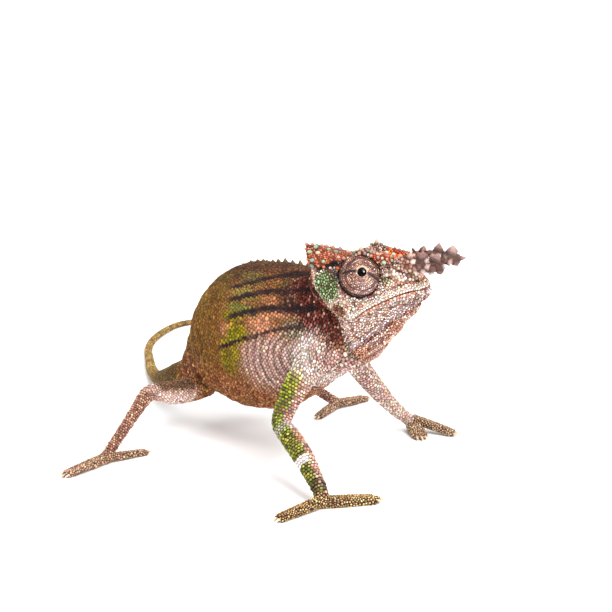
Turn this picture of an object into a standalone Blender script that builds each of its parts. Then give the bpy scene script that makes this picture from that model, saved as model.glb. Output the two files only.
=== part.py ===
"""A life-size Boehme's two-horned chameleon, standing on four spread legs with its head turned a little
to its left and its tail curled on the floor. +X is forward along the trunk, +Y is the animal's left,
+Z is up and the floor is Z = 0. Lengths below are in millimetres, and MM turns them into metres."""

import math
import random

import bmesh
import bpy
from mathutils import Matrix, Vector

MM = 0.001
GAP = 0.3  # clearance between neighbouring pieces

# Driving dimensions
TRUNK_HEIGHT = 29.0
TRUNK_WIDTH = 18.0
EYE_RADIUS = 4.0
EYE_BACK = 2.7  # from the head's middle plane to the flat inner side of each eye's dome
PUPIL_RADIUS = 0.78
HORN_LENGTH = 9.0
HORN_SCALE_RADIUS = 1.2
HORN_SCALE_HEIGHT = 1.0
TAIL_ROOT_RADIUS = 2.3
UPPER_ARM_RADIUS = 2.2
THIGH_RADIUS = 2.3
CLAW_LENGTH = 1.5
SPINE_COUNT = 14
SPINE_SPACING = 1.55
SPINE_RADIUS = 0.75
SPINE_HEIGHT = 1.5
TUBERCLE_RADIUS = 0.6
TUBERCLE_HEIGHT = 0.65

# The part's origin is the middle of its box on the floor, this far from the trunk's own origin
ORIGIN = (-26.44, 5.89)

# The head's own frame: its origin lies midway between the eyes
HEAD_AT = (15.2, -1.8, 39.2)
HEAD_TURN = math.radians(16.0)

# Stations of the trunk and neck: x, y, z, half width, height above, depth below
TRUNK = (
    (13.5, -1.3, 33.5, 0.24 * TRUNK_WIDTH, 4.0, 7.0),
    (10.5, -0.6, 31.0, 0.28 * TRUNK_WIDTH, 6.2, 8.6),
    (5.0, 0, 28.3, 0.36 * TRUNK_WIDTH, 8.8, 9.8),
    (-2.0, 0, 25.2, 0.44 * TRUNK_WIDTH, 0.415 * TRUNK_HEIGHT, 0.41 * TRUNK_HEIGHT),
    (-9.0, 0, 22.5, 0.50 * TRUNK_WIDTH, 0.48 * TRUNK_HEIGHT, 0.48 * TRUNK_HEIGHT),
    (-16.0, 0, 20.3, 0.49 * TRUNK_WIDTH, 0.49 * TRUNK_HEIGHT, 0.47 * TRUNK_HEIGHT),
    (-22.8, 0, 17.3, 0.385 * TRUNK_WIDTH, 0.41 * TRUNK_HEIGHT, 0.40 * TRUNK_HEIGHT),
    (-28.6, 0, 13.4, 0.25 * TRUNK_WIDTH, 0.22 * TRUNK_HEIGHT, 0.24 * TRUNK_HEIGHT),
    (-33.0, -0.2, 10.0, 3.2, 3.3, 3.4),
    (-37.5, -0.4, 8.4, TAIL_ROOT_RADIUS, 2.4, TAIL_ROOT_RADIUS),
)

# Stations of the tail's middle line on from the trunk: x, y, z, radius
TAIL = (
    (-37.5, -0.4, 8.4, TAIL_ROOT_RADIUS),
    (-46.5, 4.3, 4.8, 1.75),
    (-54.5, 10.0, 2.1, 1.4),
    (-61.8, 15.2, 1.1, 1.2),
    (-68.0, 20.3, 0.95, 1.0),
    (-74.5, 26.0, 0.85, 0.9),
    (-79.6, 32.2, 0.77, 0.82),
    (-83.3, 39.2, 0.71, 0.76),
    (-85.0, 46.0, 0.65, 0.70),
    (-82.8, 51.8, 0.59, 0.64),
    (-77.2, 52.2, 0.53, 0.58),
    (-73.8, 47.0, 0.47, 0.52),
    (-70.4, 41.8, 0.41, 0.46),
    (-65.2, 40.6, 0.35, 0.40),
)
TAIL_PARTS = ("tail_base", "tail_middle", "tail_bend", "tail_hook", "tail_tip")

# Stations of the skull in the head's frame: x, y, z, half width, height above, depth below
SKULL = (
    (-11.5, 0, -1.6, 2.2, 2.0, 2.6),
    (-9.5, 0, -1.8, 4.0, 3.4, 4.6),
    (-6.5, 0, -2.0, 5.0, 4.3, 6.8),
    (-3.0, 0, -2.2, 5.3, 5.2, 7.4),
    (1.0, 0, -2.0, 5.0, 5.7, 6.2),
    (4.5, 0, -1.8, 4.2, 5.3, 4.6),
    (8.0, 0, -2.1, 3.2, 3.8, 3.2),
    (10.3, 0, -2.6, 2.3, 2.2, 2.3),
    (11.4, 0, -2.9, 1.0, 1.0, 1.0),
)
CASQUE = (
    (-13.1, 0, 3.1, 0.5, 0.5, 0.5),
    (-12.5, 0, 2.3, 1.4, 1.3, 0.9),
    (-11.2, 0, 0.9, 2.8, 2.7, 0.9),
    (-9.8, 0, 0.6, 3.4, 3.1, 1.2),
    (-7.0, 0, 0.6, 4.0, 2.9, 1.6),
    (-3.5, 0, 1.0, 4.2, 2.1, 1.8),
    (0.5, 0, 1.5, 3.2, 1.6, 1.5),
)
THROAT = (
    (9.2, 0, -4.1, 1.6, 1.0, 1.2),
    (7.4, 0, -5.6, 2.6, 2.0, 1.8),
    (4.4, 0, -8.2, 3.5, 4.0, 2.5),
    (0.5, 0, -12.2, 4.2, 6.0, 3.1),
    (-2.6, 0, -14.8, 4.4, 6.0, 3.5),
    (-6.5, 0, -16.6, 4.4, 5.0, 3.2),
    (-10.0, 0, -17.4, 4.2, 5.0, 3.0),
)
# The mouth's line in side view, from the lips to the corner and on down behind the jaw
MOUTH = ((14.0, -2.2), (9.0, -2.95), (5.0, -4.2), (1.4, -5.8), (-1.5, -8.6), (-8.0, -16.0))
# The crest over each eye, from the casque to the foot of the horn: x, y, z, radius
CREST = (
    (-5.5, 3.4, 1.6, 0.7),
    (-3.0, 3.8, 2.2, 0.8),
    (-1.3, 3.5, 3.0, 0.9),
    (0.3, 3.1, 3.5, 1.0),
    (2.2, 2.9, 3.3, 1.0),
    (4.6, 2.7, 2.9, 0.95),
    (7.4, 2.6, 2.6, 0.95),
)

# Stations of a horn in the head's frame: x, y, z, half thickness, half height
HORN_ROOT_X = 7.2
HORN = (
    (HORN_ROOT_X, 2.6, 2.6, 0.95, 1.4),
    (HORN_ROOT_X + 0.30 * HORN_LENGTH, 2.9, 2.85, 0.95, 1.45),
    (HORN_ROOT_X + 0.62 * HORN_LENGTH, 3.3, 3.05, 0.85, 1.35),
    (HORN_ROOT_X + 0.88 * HORN_LENGTH, 3.6, 3.2, 0.6, 0.9),
    (HORN_ROOT_X + HORN_LENGTH, 3.7, 3.25, 0.25, 0.35),
)

# Where the head leaves the neck, in the head's frame, and the neck leaves the trunk
HEAD_CUT = ((-14.0, 0, 3.4), (-4.0, 0, -12.0))
TRUNK_CUT = ((0.5, 0, 37.8), (7.8, 0, 24.8))

# Each leg: stations x, y, z, radius; where its pieces part, as shares of its length; palm; toe bundles.
# A bundle is its tip's x and y, its number of toes and how far its root is lifted off the floor.
LEGS = {
    "front_right": {
        "path": (
            (5.5, -3.0, 24.5, 3.3),
            (4.4, -7.8, 18.9, 2.6),
            (3.5, -10.6, 14.6, UPPER_ARM_RADIUS),
            (3.7, -13.0, 10.7, 1.8),
            (7.6, -14.6, 8.9, 1.9),
            (12.4, -16.4, 6.8, 1.85),
            (17.9, -18.4, 3.1, 1.4),
            (19.5, -19.2, 1.4, 1.35),
        ),
        "cuts": (0.21, 0.46, 0.86),
        "names": ("upper_arm", "forearm", "hand"),
        "palm": 1.45,
        "toe": 0.78,
        "bundles": ((25.3, -10.3, 3, 0), (18.9, -30.4, 2, 0.3)),
    },
    "front_left": {
        "path": (
            (6.0, 2.0, 22.4, 2.8),
            (6.2, 6.0, 17.1, 2.1),
            (6.3, 10.6, 12.1, 1.75),
            (5.1, 16.8, 6.9, 1.4),
            (3.4, 22.2, 3.4, 1.2),
            (3.4, 24.6, 1.5, 1.25),
        ),
        "cuts": (0.23, 0.50, 0.84),
        "names": ("upper_arm", "forearm", "hand"),
        "palm": 1.4,
        "toe": 0.74,
        "bundles": ((8.9, 20.9, 3, 0.5), (12.2, 27.4, 2, 1.5)),
    },
    "hind_right": {
        "path": (
            (-28.2, -0.6, 9.0, 2.7),
            (-27.6, -6.0, 8.9, 2.5),
            (-27.1, -11.0, 9.4, THIGH_RADIUS),
            (-26.8, -15.5, 10.6, 1.8),
            (-26.6, -18.4, 10.7, 1.5),
            (-26.0, -23.5, 7.0, 1.15),
            (-25.9, -28.2, 2.8, 1.05),
            (-26.1, -29.6, 1.2, 1.15),
        ),
        "cuts": (0.25, 0.56, 0.88),
        "names": ("thigh", "shin", "foot"),
        "palm": 1.3,
        "toe": 0.64,
        "bundles": ((-24.1, -20.6, 2, 0.2), (-25.6, -40.6, 3, 0.3)),
    },
    "hind_left": {
        "path": (
            (-28.2, 1.5, 9.2, 2.6),
            (-26.4, 6.0, 9.8, 2.3),
            (-24.6, 11.0, 10.3, 1.9),
            (-22.4, 15.4, 9.2, 1.4),
            (-19.6, 20.6, 4.8, 1.0),
            (-17.0, 24.8, 1.3, 1.05),
        ),
        "cuts": (0.24, 0.54, 0.88),
        "names": ("thigh", "shin", "foot"),
        "palm": 1.1,
        "toe": 0.62,
        "bundles": ((-14.7, 16.4, 2, 0.2), (-16.0, 33.4, 3, 0.3)),
    },
}


def empty_scene():
    for obj in list(bpy.data.objects):
        bpy.data.objects.remove(obj, do_unlink=True)


def material(name, colour, roughness):
    made = bpy.data.materials.new(name)
    made.use_nodes = True
    shader = made.node_tree.nodes["Principled BSDF"]
    shader.inputs["Base Color"].default_value = (*colour, 1)
    shader.inputs["Roughness"].default_value = roughness
    return made


def smooth_path(stations, count):
    """count rows of numbers along a smooth curve through the stations."""
    rows = []
    last = len(stations) - 1
    for step in range(count):
        at = step * last / (count - 1)
        i = min(int(at), last - 1)
        s = at - i
        b, c = stations[i], stations[i + 1]
        a = stations[i - 1] if i else tuple(2 * p - q for p, q in zip(b, c))
        d = stations[i + 2] if i + 2 <= last else tuple(2 * q - p for p, q in zip(b, c))
        row = []
        for p, q, r, t in zip(a, b, c, d):
            bend = (2 * p - 5 * q + 4 * r - t) * s**2 + (3 * q - p - 3 * r + t) * s**3
            row.append(0.5 * (2 * q + (r - p) * s + bend))
        rows.append(tuple(row))
    return rows


def frames(rows, up):
    """The direction, side and upward vectors at each row, carried along without twisting."""
    points = [Vector(row[:3]) for row in rows]
    last = len(points) - 1
    up = Vector(up)
    made = []
    for i in range(len(points)):
        along = (points[min(i + 1, last)] - points[max(i - 1, 0)]).normalized()
        side = up.cross(along).normalized()
        up = along.cross(side)
        made.append((along, side, up))
    return made


def ring(centre, side, up, half_width, above, below, sides, power):
    """A closed outline round centre, rounder at power 2 and more like a diamond towards 1."""
    corners = []
    for k in range(sides):
        turn = 2 * math.pi * k / sides
        c, s = math.cos(turn), math.sin(turn)
        across = math.copysign(abs(c) ** (2 / power), c) * half_width
        rise = math.copysign(abs(s) ** (2 / power), s) * (above if s > 0 else below)
        corners.append(centre + side * across + up * rise)
    return corners


def solid_from_rings(name, rings):
    """A closed object with quads between the rings and a flat face over each end."""
    mesh = bpy.data.meshes.new(name)
    shape = bmesh.new()
    rows = [[shape.verts.new(corner * MM) for corner in one] for one in rings]
    sides = len(rows[0])
    for low, high in zip(rows, rows[1:]):
        for k in range(sides):
            n = (k + 1) % sides
            shape.faces.new((low[k], low[n], high[n], high[k]))
    shape.faces.new(rows[0])
    shape.faces.new(rows[-1][::-1])
    bmesh.ops.recalc_face_normals(shape, faces=shape.faces)
    shape.to_mesh(mesh)
    shape.free()
    obj = bpy.data.objects.new(name, mesh)
    bpy.context.collection.objects.link(obj)
    return obj


def loft(name, stations, steps, sides, power=2.2, up=(0, 0, 1), place=Matrix()):
    """A closed body through stations of x, y, z, half width, height above and depth below."""
    rows = smooth_path(stations, steps)
    rings = []
    for row, (_, side, upward) in zip(rows, frames(rows, up)):
        corners = ring(Vector(row[:3]), side, upward, row[3], row[4], row[5], sides, power)
        rings.append([place @ corner for corner in corners])
    return solid_from_rings(name, rings)


def round_stations(path):
    """Stations of a round body from rows of x, y, z and radius."""
    return tuple((x, y, z, r, r, r) for x, y, z, r in path)


def cone(name, foot, direction, radius, height, sides, flatten=1.0, across=None):
    """A pointed scale: a cone on foot along direction, thinner by flatten across the given vector."""
    direction = Vector(direction).normalized()
    first = Vector(across or (direction.orthogonal())).normalized()
    first = (first - direction * first.dot(direction)).normalized()
    second = direction.cross(first)
    mesh = bpy.data.meshes.new(name)
    shape = bmesh.new()
    base = []
    for k in range(sides):
        turn = 2 * math.pi * (k + 0.5) / sides
        spot = first * math.cos(turn) * flatten + second * math.sin(turn)
        base.append(shape.verts.new((Vector(foot) + spot * radius) * MM))
    tip = shape.verts.new((Vector(foot) + direction * height) * MM)
    shape.faces.new(base)
    for k in range(sides):
        shape.faces.new((base[k], base[(k + 1) % sides], tip))
    bmesh.ops.recalc_face_normals(shape, faces=shape.faces)
    shape.to_mesh(mesh)
    shape.free()
    obj = bpy.data.objects.new(name, mesh)
    bpy.context.collection.objects.link(obj)
    return obj


def ball(name, centre, radius, scale=(1, 1, 1), segments=20, rings=12):
    """A ball or egg at centre."""
    mesh = bpy.data.meshes.new(name)
    shape = bmesh.new()
    bmesh.ops.create_uvsphere(shape, u_segments=segments, v_segments=rings, radius=radius * MM)
    bmesh.ops.scale(shape, vec=scale, verts=shape.verts)
    bmesh.ops.translate(shape, vec=Vector(centre) * MM, verts=shape.verts)
    shape.to_mesh(mesh)
    shape.free()
    obj = bpy.data.objects.new(name, mesh)
    bpy.context.collection.objects.link(obj)
    return obj


def half_space(point, normal, size=120.0):
    """A block whose near face passes through point, and which fills the side that normal points to."""
    normal = Vector(normal).normalized()
    mesh = bpy.data.meshes.new("half_space")
    shape = bmesh.new()
    bmesh.ops.create_cube(shape, size=size * MM)
    turn = normal.to_track_quat("Z", "Y").to_matrix().to_4x4()
    place = Matrix.Translation((Vector(point) + normal * size / 2) * MM)
    bmesh.ops.transform(shape, matrix=place @ turn, verts=shape.verts)
    shape.to_mesh(mesh)
    shape.free()
    obj = bpy.data.objects.new("half_space", mesh)
    bpy.context.collection.objects.link(obj)
    return obj


def side_prism(outline, half_width, place):
    """A prism with the outline in the frame's X-Z plane, reaching half_width to each side."""
    mesh = bpy.data.meshes.new("prism")
    shape = bmesh.new()
    near = [shape.verts.new((place @ Vector((x, -half_width, z))) * MM) for x, z in outline]
    far = [shape.verts.new((place @ Vector((x, half_width, z))) * MM) for x, z in outline]
    count = len(outline)
    shape.faces.new(near)
    shape.faces.new(far[::-1])
    for k in range(count):
        n = (k + 1) % count
        shape.faces.new((near[k], near[n], far[n], far[k]))
    bmesh.ops.triangulate(shape, faces=[face for face in shape.faces if len(face.verts) > 4])
    bmesh.ops.recalc_face_normals(shape, faces=shape.faces)
    shape.to_mesh(mesh)
    shape.free()
    obj = bpy.data.objects.new("prism", mesh)
    bpy.context.collection.objects.link(obj)
    return obj


def apply_modifiers(obj):
    graph = bpy.context.evaluated_depsgraph_get()
    baked = bpy.data.meshes.new_from_object(obj.evaluated_get(graph))
    obj.modifiers.clear()
    obj.data = baked


def join(obj, pieces):
    """Unites pieces with obj, and removes them."""
    group = bpy.data.collections.new("pieces")
    bpy.context.scene.collection.children.link(group)
    for piece in pieces:
        bpy.context.collection.objects.unlink(piece)
        group.objects.link(piece)
    union = obj.modifiers.new("Union", "BOOLEAN")
    union.operation = "UNION"
    union.operand_type = "COLLECTION"
    union.collection = group
    union.solver = "EXACT"
    union.use_self = False
    apply_modifiers(obj)
    for piece in pieces:
        bpy.data.objects.remove(piece, do_unlink=True)
    bpy.data.collections.remove(group)
    return obj


def carve(obj, cutter, operation="DIFFERENCE"):
    """Cuts the cutter from obj, or keeps only what they share, and removes the cutter."""
    cut = obj.modifiers.new("Cut", "BOOLEAN")
    cut.operation = operation
    cut.object = cutter
    cut.solver = "EXACT"
    apply_modifiers(obj)
    bpy.data.objects.remove(cutter, do_unlink=True)
    return obj


def keep_largest(obj):
    """Drops all but the closed surface that holds the most."""
    shape = bmesh.new()
    shape.from_mesh(obj.data)
    bmesh.ops.remove_doubles(shape, verts=shape.verts, dist=1e-6)
    unseen = set(shape.faces)
    shells = []
    while unseen:
        start = unseen.pop()
        shell, edge = {start}, [start]
        while edge:
            for side in edge.pop().edges:
                for face in side.link_faces:
                    if face in unseen:
                        unseen.discard(face)
                        shell.add(face)
                        edge.append(face)
        shells.append(shell)

    def volume(shell):
        total = 0.0
        for face in shell:
            corners = [corner.vert.co for corner in face.loops]
            for second, third in zip(corners[1:], corners[2:]):
                total += corners[0].dot(second.cross(third)) / 6
        return total

    largest = max(shells, key=volume)
    bmesh.ops.delete(shape, geom=[face for face in shape.faces if face not in largest], context="FACES")
    shape.to_mesh(obj.data)
    shape.free()


def finish(obj, name, skin):
    """Names the node, gives it its material and shades it smooth between its sharp edges."""
    keep_largest(obj)
    obj.name = name
    obj.data.name = name
    obj.data.materials.clear()
    obj.data.materials.append(skin)
    obj.data.shade_smooth()
    obj.data.set_sharp_from_angle(angle=math.radians(40))
    obj.location = Vector((-ORIGIN[0], -ORIGIN[1], 0)) * MM
    return obj


def head_frame():
    return Matrix.Translation(HEAD_AT) @ Matrix.Rotation(HEAD_TURN, 4, "Z")


def trunk_body():
    return loft("trunk", TRUNK, 24, 24)


def throat_body():
    return loft("throat", THROAT, 10, 18, place=head_frame())


def split(cut, place, keep_front):
    """The block to take off at a cut through two places in side view: behind it, or from GAP in front."""
    high, low = (Vector(spot) for spot in cut)
    back = Vector((low.z - high.z, 0, high.x - low.x)).normalized()
    if keep_front:
        return half_space(place @ high, place.to_3x3() @ back)
    return half_space(place @ (high + back * GAP), place.to_3x3() @ -back)


def leg_pieces(leg, steps=20, sides=12):
    """The root that stays on the trunk and the leg's own lengths, parted face to face."""
    rows = smooth_path(round_stations(leg["path"]), steps)
    axes = frames(rows, (0.1, 0.2, 1.0))
    breaks = [0] + [round(share * (steps - 1)) for share in leg["cuts"]] + [steps - 1]
    made = []
    for first, last in zip(breaks, breaks[1:]):
        rings = []
        for i in range(first, last + 1):
            along, side, up = axes[i]
            shift = GAP / 2 if i == first and first else 0.0
            shift -= GAP / 2 if i == last and last < steps - 1 else 0.0
            centre = Vector(rows[i][:3]) + along * shift
            rings.append(ring(centre, side, up, rows[i][3], rows[i][3], rows[i][3], sides, 2.0))
        made.append(solid_from_rings("length", rings))
    return made


def toes(wrist, tip, count, lift, thick):
    """A bundle of fused toes on the floor from the wrist to the tip, with a claw on each."""
    start, end = Vector((wrist[0], wrist[1], 0)), Vector((tip[0], tip[1], 0))
    along = (end - start).normalized()
    across = Vector((-along.y, along.x, 0))
    length = (end - start).length
    pieces = []
    for k in range(count):
        offset = (k - (count - 1) / 2) * 1.15 * thick
        reach = length * (1.0 - 0.07 * abs(k - (count - 1) / 2))
        path = []
        for share, rise, spread, radius in (
            (0.0, 1.2, 0.55, 1.25),
            (0.35, 1.05, 0.85, 1.15),
            (0.7, 0.9, 0.95, 1.0),
            (0.93, 0.78, 1.0, 0.9),
            (1.0, 0.7, 1.0, 0.5),
        ):
            centre = start + along * reach * share + across * offset * spread
            r = radius * thick
            path.append((centre.x, centre.y, rise * thick + lift * (1 - share), r, r, r))
        pieces.append(loft("toe", path, 6, 8, power=2.0))
        foot = start + along * reach * 0.95 + across * offset + Vector((0, 0, 0.8 * thick))
        pieces.append(cone("claw", foot, along + Vector((0, 0, -0.22)), 0.5 * thick, CLAW_LENGTH, 5))
    return pieces


def make_leg(name, leg, skin):
    """The nodes of one leg. Returns its root, which stays on the trunk."""
    root, upper, lower, end = leg_pieces(leg)
    finish(upper, f"{leg['names'][0]}_{name}", skin)
    finish(lower, f"{leg['names'][1]}_{name}", skin)
    wrist = leg["path"][-1]
    pieces = [ball("palm", (wrist[0], wrist[1], 0.8 * leg["palm"]), leg["palm"], (1, 1, 1), 12, 7)]
    for x, y, count, lift in leg["bundles"]:
        pieces += toes(wrist, (x, y), count, lift, leg["toe"])
    join(end, pieces)
    carve(end, half_space((0, 0, 0), (0, 0, -1)))
    finish(end, f"{leg['names'][2]}_{name}", skin)
    return root


def crest_spines():
    """The row of small cones down the nape and the front of the back, lower and lower to the rear."""
    rows = smooth_path(TRUNK, 200)
    axes = frames(rows, (0, 0, 1))
    rng = random.Random(3)
    made = []
    next_x = 2.4
    for row, (along, _, up) in zip(rows, axes):
        if len(made) == SPINE_COUNT:
            break
        if row[0] > next_x:
            continue
        height = SPINE_HEIGHT * (1 - 0.4 * len(made) / SPINE_COUNT) * rng.uniform(0.8, 1.1)
        sunk = 0.8
        foot = Vector(row[:3]) + up * (row[4] - sunk)
        made.append(cone("spine", foot, up + along * 0.25, SPINE_RADIUS, height + sunk, 6, 0.75, (0, 1, 0)))
        next_x -= SPINE_SPACING
    return made


def make_torso(roots, skin):
    torso = trunk_body()
    join(torso, roots)
    join(torso, crest_spines())
    carve(torso, split(TRUNK_CUT, Matrix(), False))
    return finish(torso, "torso", skin)


def make_neck(skin):
    neck = trunk_body()
    join(neck, [throat_body()])
    carve(neck, split(TRUNK_CUT, Matrix(), True))
    carve(neck, split(HEAD_CUT, head_frame(), False))
    return finish(neck, "neck", skin)


def make_tail(skin):
    """The tail's lengths, each a little curved, parted face to face."""
    steps, sides = 51, 10
    rows = smooth_path(round_stations(TAIL), steps)
    axes = frames(rows, (0, 0, 1))
    axes[0] = frames(smooth_path(TRUNK, 24), (0, 0, 1))[-1]
    per_part = (steps - 1) // len(TAIL_PARTS)
    for k, name in enumerate(TAIL_PARTS):
        first, last = k * per_part, (k + 1) * per_part
        rings = []
        for i in range(first, last + 1):
            along, side, up = axes[i]
            shift = GAP if not k and i == first else GAP / 2 if i == first else 0.0
            shift -= GAP / 2 if i == last and last < steps - 1 else 0.0
            centre = Vector(rows[i][:3]) + along * shift
            radius = rows[i][3]
            if i:
                corners = ring(centre, side, up, radius, radius, radius, sides, 2.0)
            else:
                corners = ring(centre, side, up, radius, rows[i][3] + 0.1, radius, sides, 2.2)
            rings.append([Vector((c.x, c.y, max(c.z, 0.0))) for c in corners])
        finish(solid_from_rings(name, rings), name, skin)


def skull_side(x, z):
    """The skull's half width at a place in side view."""
    rows = smooth_path(SKULL, 60)
    row = min(rows, key=lambda r: abs(r[0] - x))
    rise = z - row[2]
    reach = row[4] if rise > 0 else row[5]
    share = min(abs(rise) / reach, 0.98)
    return row[3] * (1 - share**2.2) ** (1 / 2.2)


def head_tubercles(frame):
    """The pointed scales along the casque's rims and the crests over the eyes."""
    made = []
    turn = frame.to_3x3()

    def stud(x, y, z, direction):
        sunk = 0.5
        foot, out = frame @ Vector((x, y, z)), turn @ Vector(direction).normalized()
        made.append(cone("tubercle", foot - out * sunk, out, TUBERCLE_RADIUS, TUBERCLE_HEIGHT + sunk, 5))

    for x, _, z, _, above, _ in smooth_path(CASQUE, 10)[1:8]:
        stud(x, 0, z + above, (-0.25, 0, 1))
    for side in (-1, 1):
        for x, _, z, half_width, _, _ in smooth_path(CASQUE, 9)[1:6]:
            stud(x, side * half_width, z + 0.1, (-0.3, side, 0.35))
        for x, y, z, radius in smooth_path(CREST, 12)[2:11]:
            stud(x, side * y, z + radius, (0.1, side * 0.3, 1))
    return made


def lips(frame):
    """A raised rim above and below the mouth on each side."""
    made = []
    for side in (-1, 1):
        for shift, radius in ((0.55, 0.42), (-0.62, 0.4)):
            path = []
            for x, z in smooth_path(MOUTH[:4], 8):
                x = min(x, 11.3)
                y = side * (skull_side(x, z + shift) - 0.1)
                spot = frame @ Vector((x, y, z + shift))
                path.append((*spot, radius, radius, radius))
            made.append(loft("lip", path[1:], 8, 6, power=2.0))
    return made


def eye_centre(side):
    return Vector((-0.4, side * 3.1, -0.2))


def gaze(side):
    return Vector((0.42, side * 0.82, 0.38)).normalized()


def turret(name, side, radius, back):
    """The domed lid: a ball whose inner part is cut off at the distance back from the middle plane."""
    frame = head_frame()
    centre = frame @ eye_centre(side)
    dome = ball(name, centre, radius, segments=22, rings=14)
    inner = frame @ Vector((0, side * back, 0))
    return carve(dome, half_space(inner, frame.to_3x3() @ Vector((0, -side, 0))))


def make_eye(side, word, lid, eye):
    frame = head_frame()
    centre = frame @ eye_centre(side)
    look = frame.to_3x3() @ gaze(side)
    dome = turret("dome", side, EYE_RADIUS, EYE_BACK)
    rim = cone("rim", centre + look * (EYE_RADIUS - 1.2), look, 2.9, 2.5, 14)
    join(dome, [rim])
    carve(dome, half_space(centre + look * (EYE_RADIUS + 0.25), look))
    carve(dome, ball("pit", centre + look * (EYE_RADIUS + 0.1), PUPIL_RADIUS + GAP, segments=12, rings=8))
    finish(dome, f"eye_turret_{word}", lid)
    pupil = ball("eye", centre + look * (EYE_RADIUS + 0.05), PUPIL_RADIUS, segments=10, rings=8)
    finish(pupil, f"eye_{word}", eye)


def make_head(skin):
    """The skull with its casque, crests and upper jaw, and the lower jaw with the front of the throat."""
    frame = head_frame()
    skull = loft("skull", SKULL, 20, 24, place=frame)
    join(skull, [throat_body()])
    carve(skull, split(HEAD_CUT, frame, True))
    extras = [loft("casque", CASQUE, 12, 16, power=1.35, place=frame)]
    for side in (-1, 1):
        ridge = [(x, side * y, z, r, r, r) for x, y, z, r in CREST]
        extras.append(loft("crest", ridge, 14, 8, power=2.0, place=frame))
        extras.append(ball("cheek", frame @ Vector((-3.2, side * 2.9, -5.6)), 3.0, (1.15, 0.85, 1.0), 14, 9))
    join(skull, extras)
    join(skull, head_tubercles(frame) + lips(frame))
    for side in (-1, 1):
        carve(skull, turret("socket", side, EYE_RADIUS + GAP, EYE_BACK - GAP))
        carve(skull, ball("nostril", frame @ Vector((9.3, side * 2.9, -1.0)), 0.5, segments=10, rings=8))
        carve(skull, horn_block(side, frame))
    jaw = skull.copy()
    jaw.data = skull.data.copy()
    bpy.context.collection.objects.link(jaw)
    below = list(MOUTH) + [(-8.0, -40.0), (20.0, -40.0), (20.0, MOUTH[0][1])]
    above = [(x, z + GAP) for x, z in MOUTH] + [(-12.0, -16.0 + GAP), (-12.0, -40.0), (20.0, -40.0)]
    above += [(20.0, MOUTH[0][1] + GAP)]
    carve(jaw, side_prism(below, 20.0, frame), "INTERSECT")
    carve(skull, side_prism(above, 20.0, frame))
    finish(skull, "head", skin)
    finish(jaw, "lower_jaw", skin)


def horn_block(side, frame):
    """The space in front of the head that a horn's own node fills."""
    middle = frame @ Vector((HORN_ROOT_X + 5.2, side * 2.5, 2.4))
    block = ball("block", middle, 1.0, segments=16, rings=10)
    turn = head_frame().to_3x3().to_4x4()
    shift = Matrix.Translation(middle * MM)
    stretch = turn @ Matrix.Diagonal((4.0, 1.9, 2.6, 1)) @ turn.inverted()
    block.data.transform(shift @ stretch @ shift.inverted())
    return block


def make_horn(side, word, horn_skin):
    """A flat blade with pointed scales round its rim and over its sides."""
    frame = head_frame()
    turn = frame.to_3x3()
    path = [(x, side * y, z, thin, high, high) for x, y, z, thin, high in HORN]
    blade = loft("blade", path, 8, 10, power=1.7, place=frame)
    scales = []

    def scale(x, y, z, direction, radius, height, thin=1.0):
        sunk = 0.45
        foot = frame @ Vector((x, y, z))
        scales.append(cone("scale", foot, turn @ Vector(direction), radius, height + sunk, 5, thin))

    rng = random.Random(7)
    rows = smooth_path(path, 7)
    for x, y, z, thin, high, _ in rows[1:6]:
        tall = HORN_SCALE_HEIGHT * rng.uniform(1.0, 1.4)
        low = 0.5 * HORN_SCALE_HEIGHT
        scale(x, y, z + high - 0.45, (0.2, 0, 1), HORN_SCALE_RADIUS, tall, 0.75)
        scale(x + 0.5, y, z - high + 0.45, (0.5, 0, -1), 0.8 * HORN_SCALE_RADIUS, low, 0.75)
        for outward in (-1, 1):
            for rise in (-0.45, 0.45):
                side_y = y + outward * (thin - 0.4)
                lift = rise * high + rng.uniform(-0.1, 0.1)
                out = (0.35, outward, rise)
                scale(x + 0.5 - rise, side_y, z + lift, out, 0.62 * HORN_SCALE_RADIUS, low)
    x, y, z = rows[-1][:3]
    scale(x - 0.9, y, z, (1, 0, 0.05), 0.8, 1.2)
    join(blade, scales)
    root = frame @ Vector((HORN_ROOT_X + 1.2 + GAP, 0, 0))
    carve(blade, half_space(root, turn @ Vector((-1, 0, 0))))
    finish(blade, f"horn_{word}", horn_skin)


def main():
    empty_scene()
    skin = material("skin", (0.42, 0.27, 0.18), 0.62)
    lid = material("eyelid_skin", (0.50, 0.33, 0.27), 0.6)
    eye = material("eye", (0.01, 0.01, 0.012), 0.08)
    horn = material("horn_scales", (0.36, 0.26, 0.25), 0.55)
    roots = [make_leg(name, leg, skin) for name, leg in LEGS.items()]
    make_torso(roots, skin)
    make_neck(skin)
    make_tail(skin)
    make_head(skin)
    for side, word in ((-1, "right"), (1, "left")):
        make_eye(side, word, lid, eye)
        make_horn(side, word, horn)


main()
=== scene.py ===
"""The looks of a life-size two-horned chameleon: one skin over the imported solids, with scales of solid
mesh laid over it, domed eyelids with small round openings, horns of pointed scales, and claws.
Shapes are worked out in millimetres in the trunk's own frame: +X is forward, +Y is the animal's left,
+Z is up, and the floor is Z = 0."""

import math

import bpy
import numpy as np
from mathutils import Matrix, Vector
from mathutils.bvhtree import BVHTree
from mathutils.kdtree import KDTree


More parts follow.
